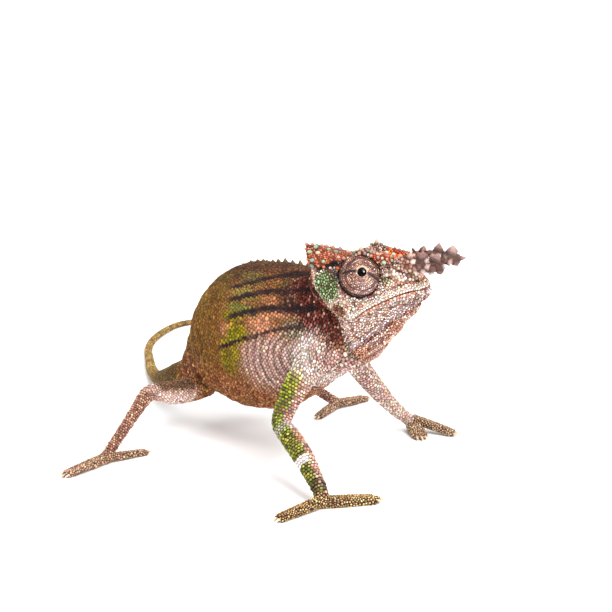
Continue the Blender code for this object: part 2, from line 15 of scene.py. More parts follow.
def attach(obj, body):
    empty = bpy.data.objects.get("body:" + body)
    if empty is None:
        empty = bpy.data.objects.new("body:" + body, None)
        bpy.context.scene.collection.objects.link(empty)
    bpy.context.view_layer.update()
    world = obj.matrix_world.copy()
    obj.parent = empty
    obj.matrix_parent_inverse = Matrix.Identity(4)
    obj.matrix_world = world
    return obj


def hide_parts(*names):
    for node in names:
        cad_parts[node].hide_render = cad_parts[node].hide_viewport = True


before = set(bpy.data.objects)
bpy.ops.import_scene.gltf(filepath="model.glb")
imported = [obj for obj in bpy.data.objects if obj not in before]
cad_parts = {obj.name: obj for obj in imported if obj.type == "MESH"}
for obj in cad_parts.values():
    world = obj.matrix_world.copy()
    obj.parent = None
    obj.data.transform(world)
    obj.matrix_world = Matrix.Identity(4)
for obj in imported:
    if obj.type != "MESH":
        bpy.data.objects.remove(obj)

bl_info = {
    "name": "Two-horned chameleon",
    "version": (1, 0, 0),
    "blender": (4, 5, 0),
    "location": "View3D > Sidebar > Chameleon",
    "description": "Builds the skin, scales, eyes, horns and claws of a chameleon over its packed solids",
    "category": "Add Mesh",
}

MM = 0.001
ORIGIN = np.array((-26.44, 5.89, 0.0))  # the part's origin in the trunk's frame
COAT = 0.12  # how far the skin lies inside the solids, so that the scales come out level with them
TRUNK_HEIGHT = 29.0
TRUNK_WIDTH = 18.0
SEED = 11

# The head's own frame: its origin lies midway between the eyes
HEAD_AT = np.array((15.2, -1.8, 39.2))
HEAD_TURN = math.radians(16.0)

# Stations of the trunk and neck: x, y, z, half width, height above, depth below
TRUNK = (
    (13.5, -1.3, 33.5, 0.24 * TRUNK_WIDTH, 4.0, 7.0),
    (10.5, -0.6, 31.0, 0.28 * TRUNK_WIDTH, 6.2, 8.6),
    (5.0, 0, 28.3, 0.36 * TRUNK_WIDTH, 8.8, 9.8),
    (-2.0, 0, 25.2, 0.44 * TRUNK_WIDTH, 0.415 * TRUNK_HEIGHT, 0.41 * TRUNK_HEIGHT),
    (-9.0, 0, 22.5, 0.50 * TRUNK_WIDTH, 0.48 * TRUNK_HEIGHT, 0.48 * TRUNK_HEIGHT),
    (-16.0, 0, 20.3, 0.49 * TRUNK_WIDTH, 0.49 * TRUNK_HEIGHT, 0.47 * TRUNK_HEIGHT),
    (-22.8, 0, 17.3, 0.385 * TRUNK_WIDTH, 0.41 * TRUNK_HEIGHT, 0.40 * TRUNK_HEIGHT),
    (-28.6, 0, 13.4, 0.25 * TRUNK_WIDTH, 0.22 * TRUNK_HEIGHT, 0.24 * TRUNK_HEIGHT),
    (-33.0, -0.2, 10.0, 3.2, 3.3, 3.4),
    (-37.5, -0.4, 8.4, 2.3, 2.4, 2.3),
)

# Stations of the tail's middle line: x, y, z, radius
TAIL = (
    (-33.0, -0.2, 10.0, 3.3),
    (-37.5, -0.4, 8.4, 2.3),
    (-46.5, 4.3, 4.8, 1.75),
    (-54.5, 10.0, 2.1, 1.4),
    (-61.8, 15.2, 1.1, 1.2),
    (-68.0, 20.3, 0.95, 1.0),
    (-74.5, 26.0, 0.85, 0.9),
    (-79.6, 32.2, 0.77, 0.82),
    (-83.3, 39.2, 0.71, 0.76),
    (-85.0, 46.0, 0.65, 0.70),
    (-82.8, 51.8, 0.59, 0.64),
    (-77.2, 52.2, 0.53, 0.58),
    (-73.8, 47.0, 0.47, 0.52),
    (-70.4, 41.8, 0.41, 0.46),
    (-65.2, 40.6, 0.35, 0.40),
)

# Stations in the head's frame
SKULL = (
    (-11.5, 0, -1.6, 2.2, 2.0, 2.6),
    (-9.5, 0, -1.8, 4.0, 3.4, 4.6),
    (-6.5, 0, -2.0, 5.0, 4.3, 6.8),
    (-3.0, 0, -2.2, 5.3, 5.2, 7.4),
    (1.0, 0, -2.0, 5.0, 5.7, 6.2),
    (4.5, 0, -1.8, 4.2, 5.3, 4.6),
    (8.0, 0, -2.1, 3.2, 3.8, 3.2),
    (10.3, 0, -2.6, 2.3, 2.2, 2.3),
    (11.4, 0, -2.9, 1.0, 1.0, 1.0),
)
CASQUE = (
    (-13.1, 0, 3.1, 0.5, 0.5, 0.5),
    (-12.5, 0, 2.3, 1.4, 1.3, 0.9),
    (-11.2, 0, 0.9, 2.8, 2.7, 0.9),
    (-9.8, 0, 0.6, 3.4, 3.1, 1.2),
    (-7.0, 0, 0.6, 4.0, 2.9, 1.6),
    (-3.5, 0, 1.0, 4.2, 2.1, 1.8),
    (0.5, 0, 1.5, 3.2, 1.6, 1.5),
)
THROAT = (
    (9.2, 0, -4.1, 1.6, 1.0, 1.2),
    (7.4, 0, -5.6, 2.6, 2.0, 1.8),
    (4.4, 0, -8.2, 3.5, 4.0, 2.5),
    (0.5, 0, -12.2, 4.2, 6.0, 3.1),
    (-2.6, 0, -14.8, 4.4, 6.0, 3.5),
    (-6.5, 0, -16.6, 4.4, 5.0, 3.2),
    (-10.0, 0, -17.4, 4.2, 5.0, 3.0),
)
# The mouth's line in side view: x, z
MOUTH = ((11.6, -1.65), (9.9, -2.0), (7.4, -2.8), (3.7, -4.7), (0.6, -6.6), (-2.2, -8.9))
# Stations x, y, z, radius of the crest over each eye, and of the ridge along the casque's top
CREST = (
    (-5.5, 3.4, 1.6, 0.7),
    (-3.0, 3.8, 2.2, 0.8),
    (-1.8, 3.5, 2.7, 0.85),
    (-0.5, 3.2, 3.7, 1.0),
    (1.0, 3.0, 3.4, 1.0),
    (2.6, 2.9, 3.1, 0.95),
    (4.8, 2.7, 2.9, 0.95),
    (7.4, 2.6, 2.6, 0.95),
)
CASQUE_RIDGE = (
    (-12.9, 0, 3.1, 0.45),
    (-11.4, 0, 3.15, 0.5),
    (-9.6, 0, 3.15, 0.5),
    (-7.4, 0, 2.9, 0.45),
)
# Stations of each horn: x, y, z, half thickness and half height
HORN_ROOT_X = 7.2
HORN_LENGTH = 9.0
HORN = (
    (HORN_ROOT_X, 2.6, 2.6, 0.95, 1.4),
    (HORN_ROOT_X + 0.30 * HORN_LENGTH, 2.9, 2.85, 0.95, 1.45),
    (HORN_ROOT_X + 0.62 * HORN_LENGTH, 3.3, 3.05, 0.85, 1.35),
    (HORN_ROOT_X + 0.88 * HORN_LENGTH, 3.6, 3.2, 0.6, 0.9),
    (HORN_ROOT_X + HORN_LENGTH, 3.7, 3.25, 0.25, 0.35),
)
# The tall points along each horn's top and smaller ones below: share of its length, degrees round it from its
# outer side, size and height
HORN_POINTS = (
    (0.0, 90, 1.5, 0.6),
    (0.2, 90, 2.1, 1.0),
    (0.41, 90, 2.6, 1.35),
    (0.62, 90, 2.6, 1.4),
    (0.85, 90, 2.0, 1.0),
    (0.36, 270, 1.4, 0.5),
    (0.54, 270, 1.6, 0.65),
    (0.72, 270, 1.5, 0.6),
    (0.87, 270, 1.3, 0.5),
)

# Places in the head's frame: each eye and where it looks, the cheek, and in side view the temple and nostril
EYE_RADIUS = 4.0
LID_ROOM = 4.2  # the skin and its scales keep this far from the middle of the eye
EYE_AT = (-0.4, 3.1, -0.2)
GAZE = (0.42, 0.82, 0.38)
CHEEK_AT = (-3.2, 2.9, -5.6)
CHEEK_RADIUS = 3.0
TEMPLE = ((-6.9, -2.6), (2.5, 2.9))
NOSTRIL_AT = (9.8, -0.4)
SCALE_SIDES = 7
BAKE_MAP = "OFBake"
PATCH = 0.0015  # half the width of a scale's patch in the bake map
LID_RINGS = (14.0, 112.0)  # degrees from the pupil between which the lid has scales
AIM = (0.0, -2.5)  # the place on the floor below what lamps and camera are turned to

# Where a place for a scale comes from, by order of choice
FIXED, LARGE, ROWS, LOOSE = range(4)

# Each leg's stations x, y, z, radius; its palm's radius, toe's radius, and bundles of toes: tip, count, lift
LEGS = {
    "front_right": (
        (
            (5.5, -3.0, 24.5, 3.3),
            (4.4, -7.8, 18.9, 2.6),
            (3.5, -10.6, 14.6, 2.2),
            (3.7, -13.0, 10.7, 1.8),
            (7.6, -14.6, 8.9, 1.9),
            (12.4, -16.4, 6.8, 1.85),
            (17.9, -18.4, 3.1, 1.4),
            (19.5, -19.2, 1.4, 1.35),
        ),
        1.45,
        0.78,
        ((25.3, -10.3, 3, 0), (18.9, -30.4, 2, 0.3)),
    ),
    "front_left": (
        (
            (6.0, 2.0, 22.4, 2.8),
            (6.2, 6.0, 17.1, 2.1),
            (6.3, 10.6, 12.1, 1.75),
            (5.1, 16.8, 6.9, 1.4),
            (3.4, 22.2, 3.4, 1.2),
            (3.4, 24.6, 1.5, 1.25),
        ),
        1.4,
        0.74,
        ((8.9, 20.9, 3, 0.5), (12.2, 27.4, 2, 1.5)),
    ),
    "hind_right": (
        (
            (-28.2, -0.6, 9.0, 2.7),
            (-27.6, -6.0, 8.9, 2.5),
            (-27.1, -11.0, 9.4, 2.3),
            (-26.8, -15.5, 10.6, 1.8),
            (-26.6, -18.4, 10.7, 1.5),
            (-26.0, -23.5, 7.0, 1.15),
            (-25.9, -28.2, 2.8, 1.05),
            (-26.1, -29.6, 1.2, 1.15),
        ),
        1.3,
        0.64,
        ((-24.1, -20.6, 2, 0.2), (-25.6, -40.6, 3, 0.3)),
    ),
    "hind_left": (
        (
            (-28.2, 1.5, 9.2, 2.6),
            (-26.4, 6.0, 9.8, 2.3),
            (-24.6, 11.0, 10.3, 1.9),
            (-22.4, 15.4, 9.2, 1.4),
            (-19.6, 20.6, 4.8, 1.0),
            (-17.0, 24.8, 1.3, 1.05),
        ),
        1.1,
        0.62,
        ((-14.7, 16.4, 2, 0.2), (-16.0, 33.4, 3, 0.3)),
    ),
}
LEG_NAMES = tuple(LEGS)
SIDES = ((-1, "right"), (1, "left"))
ELLIPSE = 2.0  # the power of a loft with a round section

# The flank's dark stripes: their x and z, half width and strength
STRIPES = (
    (((-18.0, 30.4), (-16.3, 31.3), (-9.3, 33.7), (-4.8, 35.2), (0.0, 36.0)), 0.32, 0.9),
    (((-17.0, 28.3), (-15.4, 29.2), (-8.4, 31.9), (-1.7, 33.2), (4.0, 34.2)), 0.38, 0.9),
    (((-16.2, 25.4), (-14.1, 26.8), (-7.3, 29.1), (-0.4, 30.1), (5.5, 31.2)), 0.5, 1.0),
    (((-18.5, 19.0), (-15.3, 20.8), (-8.4, 23.9), (0.5, 27.0), (3.0, 27.4)), 0.32, 0.85),
)

# A scale's outline rings, as shares of its reach and height: rounded, and pointed
ROUND = ((1.0, -0.35), (0.93, 0.42), (0.68, 0.84), (0.0, 1.0))
CONE = ((1.0, -0.35), (0.72, 0.36), (0.36, 0.74), (0.0, 1.08))

FLESH = (
    "head lower_jaw neck torso tail_base tail_middle tail_bend tail_hook tail_tip upper_arm_front_right "
    "forearm_front_right hand_front_right upper_arm_front_left forearm_front_left hand_front_left "
    "thigh_hind_right shin_hind_right foot_hind_right thigh_hind_left shin_hind_left foot_hind_left"
).split()

# What the operators hand on to one another: the finished skin
made = {}


# Numbers and curves


def rise(low, high, value):
    """From 0 at low to 1 at high, smoothly."""
    t = np.clip((value - low) / (high - low), 0, 1)
    return t * t * (3 - 2 * t)


def unit(vectors):
    return vectors / np.maximum(np.linalg.norm(vectors, axis=-1, keepdims=True), 1e-9)


def smooth_path(stations, count):
    """count rows of numbers along a smooth curve through the stations."""
    rows = np.array(stations, float)
    last = len(rows) - 1
    at = np.linspace(0, last, count)
    i = np.minimum(at.astype(int), last - 1)
    s = (at - i)[:, None]
    ends = np.vstack([2 * rows[0] - rows[1], rows, 2 * rows[-1] - rows[-2]])
    a, b, c, d = (ends[i + k] for k in range(4))
    bend = (2 * a - 5 * b + 4 * c - d) * s**2 + (3 * b - a - 3 * c + d) * s**3
    return 0.5 * (2 * b + (c - a) * s + bend)


def grain(points, size, seed):
    """Random values from 0 to 1 that vary smoothly over size millimetres."""
    q = points / size + 31.7 * seed
    cell = np.floor(q).astype(np.int64)
    f = q - cell
    f = f * f * (3 - 2 * f)
    total = np.zeros(len(points))
    for corner in range(8):
        step = np.array((corner & 1, corner >> 1 & 1, corner >> 2 & 1))
        x, y, z = (cell + step).T
        mixed = (x * 73856093) ^ (y * 19349663) ^ (z * 83492791) ^ (seed * 26544357)
        mixed = (mixed ^ (mixed >> 13)) * 1274126177
        value = ((mixed ^ (mixed >> 16)) >> 4 & 0xFFFF) / 65535.0
        total += value * np.prod(np.where(step, f, 1 - f), axis=1)
    return total


def cloud(points, size, seed):
    """Softer random values, centred on 0, of two sizes of grain."""
    return 1.3 * grain(points, size, seed) + 0.7 * grain(points, size / 2.3, seed + 50) - 1.0


def to_head(points):
    c, s = math.cos(HEAD_TURN), math.sin(HEAD_TURN)
    return (points - HEAD_AT) @ np.array(((c, -s, 0), (s, c, 0), (0, 0, 1)))


def from_head(points):
    c, s = math.cos(HEAD_TURN), math.sin(HEAD_TURN)
    return np.asarray(points, float) @ np.array(((c, s, 0), (-s, c, 0), (0, 0, 1))) + HEAD_AT


def turned(vectors):
    """Directions in the head's frame, in the trunk's."""
    return from_head(vectors) - HEAD_AT


class Loft:
    """A body through stations of x, y, z, half width, height above and depth below."""

    def __init__(self, stations, steps, power=2.2, up=(0, 0, 1), head=False):
        rows = smooth_path([row if len(row) > 5 else (*row[:4], row[3], row[3]) for row in stations], steps)
        along = unit(np.gradient(rows[:, :3], axis=0))
        sides, ups = [], []
        up = np.array(up, float)
        for direction in along:
            side = unit(np.cross(up, direction))
            up = np.cross(direction, side)
            sides.append(side)
            ups.append(up)
        self.centre, self.along, self.side, self.up = rows[:, :3], along, np.array(sides), np.array(ups)
        self.wide, self.above, self.below = rows[:, 3], rows[:, 4], rows[:, 5]
        self.power = power
        self.length = np.concatenate([[0], np.cumsum(np.linalg.norm(np.diff(self.centre, axis=0), axis=1))])
        if head:
            self.centre = from_head(self.centre)
            self.along, self.side, self.up = turned(self.along), turned(self.side), turned(self.up)

    def ring(self, i, turns, grow=0.0):
        """Points round row i at the turns, with the outline moved out by grow."""
        c, s = np.cos(turns), np.sin(turns)
        across = np.sign(c) * np.abs(c) ** (2 / self.power) * (self.wide[i] + grow)
        reach = np.where(s > 0, self.above[i], self.below[i]) + grow
        height = np.sign(s) * np.abs(s) ** (2 / self.power) * reach
        return self.centre[i] + across[:, None] * self.side[i] + height[:, None] * self.up[i]

    def rings(self, sides, grow=0.0):
        turns = np.arange(sides) * 2 * math.pi / sides
        return np.array([self.ring(i, turns, grow) for i in range(len(self.centre))])


def toe_paths(name):
    """The stations of each toe of a leg, from the wrist to the tip, and its direction."""
    path, _, thick, bundles = LEGS[name]
    start = np.array((*path[-1][:2], 0.0))
    paths = []
    for x, y, count, lift in bundles:
        reach = np.array((x, y, 0.0)) - start
        length = np.linalg.norm(reach)
        along = reach / length
        across = np.array((-along[1], along[0], 0.0))
        for k in range(count):
            offset = (k - (count - 1) / 2) * 1.15 * thick
            far = length * (1.0 - 0.07 * abs(k - (count - 1) / 2))
            rows = []
            for share, high, spread, radius in (
                (0.0, 1.2, 0.55, 1.25),
                (0.35, 1.05, 0.85, 1.15),
                (0.7, 0.9, 0.95, 1.0),
                (0.93, 0.78, 1.0, 0.9),
                (1.0, 0.7, 1.0, 0.5),
            ):
                spot = start + along * far * share + across * offset * spread
                rows.append((spot[0], spot[1], high * thick + lift * (1 - share), radius * thick))
            paths.append((rows, along))
    return paths


def tail_loft():
    return Loft(TAIL, 200, ELLIPSE)


def leg_loft(path):
    return Loft(path, 60, ELLIPSE, (0.1, 0.2, 1.0))


# Objects


def select(*objects):
    """Selects these objects and no others. The first is the active one."""
    bpy.ops.object.select_all(action="DESELECT")
    for obj in objects:
        obj.select_set(True)
    if objects:
        bpy.context.view_layer.objects.active = objects[0]


def new_object(name, points, faces):
    """An object from points in millimetres in the trunk's frame, moved to the part's frame."""
    mesh = bpy.data.meshes.new(name)
    mesh.from_pydata(((np.asarray(points) - ORIGIN) * MM).tolist(), [], faces)
    obj = bpy.data.objects.new(name, mesh)
    bpy.context.scene.collection.objects.link(obj)
    return obj


def loft_object(name, rings):
    """A closed object through the rings."""
    count, sides = rings.shape[:2]
    faces = []
    for i in range(count - 1):
        for k in range(sides):
            n = (k + 1) % sides
            faces.append((i * sides + k, i * sides + n, (i + 1) * sides + n, (i + 1) * sides + k))
    faces.append(tuple(range(sides))[::-1])
    faces.append(tuple(range((count - 1) * sides, count * sides)))
    return new_object(name, rings.reshape(-1, 3), faces)


def ball_object(name, centre, radius, scale=(1, 1, 1), segments=32, rings=18):
    select()
    place = (np.asarray(centre) - ORIGIN) * MM
    bpy.ops.mesh.primitive_uv_sphere_add(
        segments=segments, ring_count=rings, radius=radius * MM, location=place, scale=scale
    )
    obj = bpy.context.object
    obj.name = name
    bpy.ops.object.transform_apply(location=True, rotation=True, scale=True)
    return obj


def joined(objects, name):
    select(*objects)
    bpy.ops.object.join()
    objects[0].name = name
    objects[0].data.name = name
    return objects[0]


def read(items, key, width, kind=np.float32):
    """One row of width numbers for each item of a mesh's list."""
    flat = np.empty(len(items) * width, kind)
    items.foreach_get(key, flat)
    return flat.reshape(-1, width)


def points_of(obj):
    """The object's vertices, in millimetres in the trunk's frame."""
    return read(obj.data.vertices, "co", 3).astype(float) / MM + ORIGIN


def set_points(obj, points):
    obj.data.vertices.foreach_set("co", ((points - ORIGIN) * MM).astype(np.float32).ravel())
    obj.data.update()


def normals_of(obj):
    return read(obj.data.vertex_normals, "vector", 3).astype(float)


def triangles_of(obj, corner="vertices"):
    obj.data.calc_loop_triangles()
    return read(obj.data.loop_triangles, corner, 3, np.int32)


def evened(points, edges, rounds):
    """Points smoothed along their edges without shrinking the shape."""
    count = len(points)
    ends = np.concatenate([edges, edges[:, ::-1]])
    degree = np.maximum(np.bincount(ends[:, 0], minlength=count), 1)
    for turn in range(2 * rounds):
        share = 0.5 if turn % 2 == 0 else -0.52
        mean = np.empty_like(points)
        for axis in range(3):
            mean[:, axis] = np.bincount(ends[:, 0], points[ends[:, 1], axis], count) / degree
        points = points + share * (mean - points)
    return points


def linear(colour):
    """Colours as seen on a screen, as the light that they stand for."""
    colour = np.clip(np.asarray(colour, float), 0, 1)
    return np.where(colour < 0.04045, colour / 12.92, ((colour + 0.055) / 1.055) ** 2.4)


def set_tint(obj, colours):
    layer = obj.data.color_attributes.new("tint", "FLOAT_COLOR", "POINT")
    values = np.ones((len(colours), 4), np.float32)
    values[:, :3] = linear(colours)
    layer.data.foreach_set("color", values.ravel())


def adopt(obj, slot, material, *nodes):
    """Gives a finished piece its material and body, and hides the solids that it stands for. The slot is not
    used.
    """
    obj.data.materials.clear()
    obj.data.materials.append(material)
    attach(obj, "root")
    if nodes:
        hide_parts(*nodes)


# Materials


class Finish:
    """A material of the tint painted on the mesh, made darker and lighter by fine noise."""

    def __init__(self, name, noise_scale, detail, noise_span, shades, sockets):
        self.material = bpy.data.materials.new(name)
        self.material.use_nodes = True
        self.nodes, self.links = self.material.node_tree.nodes, self.material.node_tree.links
        self.shader = self.nodes["Principled BSDF"]
        for socket, value in sockets.items():
            self.shader.inputs[socket].default_value = value
        self.where = self.nodes.new("ShaderNodeTexCoord")
        self.fine = self.noise(noise_scale, detail)
        tint = self.nodes.new("ShaderNodeAttribute")
        tint.attribute_name = "tint"
        scaled = self.nodes.new("ShaderNodeVectorMath")
        scaled.operation = "SCALE"
        self.links.new(tint.outputs["Color"], scaled.inputs[0])
        self.ranged(self.fine, noise_span, shades, scaled.inputs["Scale"])
        self.links.new(scaled.outputs["Vector"], self.shader.inputs["Base Color"])

    def noise(self, scale, detail):
        node = self.nodes.new("ShaderNodeTexNoise")
        node.inputs["Scale"].default_value = scale
        node.inputs["Detail"].default_value = detail
        self.links.new(self.where.outputs["Object"], node.inputs["Vector"])
        return node

    def ranged(self, noise, span, values, socket):
        """Feeds the noise to a socket, with its span brought to the values."""
        node = self.nodes.new("ShaderNodeMapRange")
        for name, value in zip(("From Min", "From Max", "To Min", "To Max"), (*span, *values)):
            node.inputs[name].default_value = value
        self.links.new(noise.outputs["Fac"], node.inputs["Value"])
        self.links.new(node.outputs["Result"], socket)


NOISE_SPAN = (0.3, 0.7)  # what nearly all of the noise's values lie between


def material(name, roughness, bump, grain_size, variation, coat=0.0, specular=0.4):
    """A skin or horn finish with fine grain in colour, gloss and relief."""
    sockets = {"Specular IOR Level": specular, "Coat Weight": coat, "Coat Roughness": 0.25}
    finish = Finish(name, 1 / (grain_size * MM), 3.0, NOISE_SPAN, (1.0 - variation, 1.0 + variation), sockets)
    broad = finish.noise(0.18 / (grain_size * MM), 2.0)
    finish.ranged(broad, NOISE_SPAN, (roughness - 0.1, roughness + 0.1), finish.shader.inputs["Roughness"])
    relief = finish.nodes.new("ShaderNodeBump")
    relief.inputs["Strength"].default_value = bump
    relief.inputs["Distance"].default_value = 0.05 * MM
    finish.links.new(finish.fine.outputs["Fac"], relief.inputs["Height"])
    finish.links.new(relief.outputs["Normal"], finish.shader.inputs["Normal"])
    return finish.material


def eye_material():
    """A black pupil in a narrow dark brown ring, under a wet, clear coat."""
    sockets = {"Roughness": 0.06, "Specular IOR Level": 0.09}
    return Finish("eye", 9000.0, 2.0, (0.0, 1.0), (0.7, 1.3), sockets).material


# Where things are on the body


def leg_samples():
    """Points along legs and toes: place, radius, leg, share of its length, 1 on a toe, and direction."""
    rows = []
    for number, name in enumerate(LEG_NAMES):
        paths = [(smooth_path(LEGS[name][0], 60), 0.0)]
        paths += [(smooth_path(toe, 16), 1.0) for toe, _ in toe_paths(name)]
        for path, toe in paths:
            share = np.ones(len(path)) if toe else np.linspace(0, 1, len(path))
            fixed = np.tile((number, toe), (len(path), 1))
            along = unit(np.gradient(path[:, :3], axis=0))
            rows.append(np.column_stack([path, fixed[:, :1], share, fixed[:, 1:], along]))
    return np.concatenate(rows)


def tail_samples():
    loft = Loft(TAIL, 160, ELLIPSE)
    return np.column_stack([loft.centre, loft.wide, loft.length / loft.length[-1]])


def nearest_sample(points, samples):
    """For each point, the sample that it is nearest to for its radius, and its distance in radii."""
    best = np.empty(len(points), int)
    reach = np.empty(len(points))
    centres, radii = samples[:, :3], samples[:, 3]
    for first in range(0, len(points), 20000):
        some = points[first : first + 20000]
        square = (some**2).sum(1)[:, None] + (centres**2).sum(1)[None] - 2 * some @ centres.T
        share = np.sqrt(np.maximum(square, 0)) / radii
        best[first : first + 20000] = share.argmin(1)
        reach[first : first + 20000] = share.min(1)
    return best, reach


class Survey:
    """Where points of the skin lie: on the head, trunk, tail, a leg or a foot, as weights from 0 to 1."""

    def __init__(self, points, normals):
        self.points, self.normals = points, normals
        self.head = to_head(points)
        hx, hy, hz = self.head.T
        self.side = np.abs(hy)
        # The head's rear edge runs down and forward in side view
        self.behind = (hx + 14.0) * 15.4 + (hz - 3.4) * 10.0
        self.behind = self.behind / math.hypot(15.4, 10.0)
        self.on_head = rise(-0.3, 0.3, self.behind)
        samples = leg_samples()
        best, reach = nearest_sample(points, samples)
        self.leg = samples[best, 4].astype(int)
        self.share = samples[best, 5]
        self.along_leg = samples[best, 7:10]
        self.on_leg = (1 - rise(1.2, 1.5, reach)) * rise(0.10, 0.22, self.share)
        self.on_leg *= 1 - self.on_head
        self.on_foot = self.on_leg * rise(0.88, 0.96, self.share)
        tail = tail_samples()
        best, reach = nearest_sample(points, tail)
        self.tail_share = tail[best, 4]
        self.on_tail = (1 - rise(1.3, 1.6, reach)) * rise(-33.0, -36.0, points[:, 0])
        self.on_tail *= 1 - self.on_leg
        # The brow over each eye counts as far from it, because the lid doesn't show there
        self.brow = (1 - rise(2.6, 3.0, self.side)) * rise(1.2, 2.0, hz) * self.on_head
        self.eye = np.linalg.norm(np.column_stack([hx, self.side, hz]) - EYE_AT, axis=1) + 3 * self.brow


def below_mouth(head):
    """How far each point lies above the mouth's line in side view: negative on the lower jaw and throat."""
    xs, zs = smooth_path(MOUTH, 40).T
    line = np.interp(head[:, 0], xs[::-1], zs[::-1])
    slope = np.interp(head[:, 0], xs[::-1], np.gradient(zs[::-1], xs[::-1]))
    return (head[:, 2] - line) / np.sqrt(1 + slope**2)


def casque_wall(head):
    """1 on the upright wall of the casque, above a line that climbs towards the eye."""
    return rise(-0.2, 0.2, head[:, 2] - casque_foot(head)) * (1 - rise(-4.0, -2.6, head[:, 0]))


def casque_foot(head):
    """How high the casque's wall starts."""
    return np.clip(0.3 + 0.5 * (head[:, 0] + 8.6), 0.2, 2.1)


def front_brow(survey):
    """1 on the bright patch that runs over the snout from one crest to the other, in front of the eyes."""
    hx, _, hz = survey.head.T
    ragged = 0.35 * cloud(survey.points, 1.4, 48)
    high = rise(2.6, 3.1, hz + 0.6 * (survey.side < 1.6) + ragged)
    return (1 - rise(1.5, 2.1, np.abs(hx - 3.9) + ragged)) * high


def snout_side(survey):
    """1 on the snout's side below the horns, where the scales are large and pale."""
    return egg(survey.head[:, (0, 2)], (7.8, 1.1), (2.7, 1.6), 0.3) * survey.on_head


def throat_row(head):
    """Distance from the jaw's lower edge towards the mouth, which the throat's rows of scales follow."""
    return (head[:, 2] + 3.0) - 0.85 * (head[:, 0] - 11.0)


# Markings


def paint(base, colour, mask):
    return base + (np.asarray(colour) - base) * np.clip(mask, 0, 1)[:, None]


def egg(places, centre, radii, edge=0.35):
    """1 inside an egg round centre and 0 outside it, with a soft edge."""
    away = np.linalg.norm((places - np.array(centre)) / np.array(radii), axis=1)
    return 1 - rise(1 - edge, 1 + edge, away)


def ramp(chance, *colours):
    """Colours that run through those given as chance goes from 0 to 1."""
    at = np.linspace(0, 1, len(colours))
    return np.column_stack([np.interp(chance, at, channel) for channel in zip(*colours)])


class Layers:
    """Colours laid one over another. Each layer runs through its colours by chance, from 0 to 1."""

    def __init__(self, chance, *colours):
        self.chance = chance
        self.seen = self.mixed(colours)

    def mixed(self, colours):
        return ramp(self.chance, *colours) if len(colours) > 1 else np.asarray(colours[0])

    def lay(self, mask, *colours):
        self.seen = paint(self.seen, self.mixed(colours), mask)


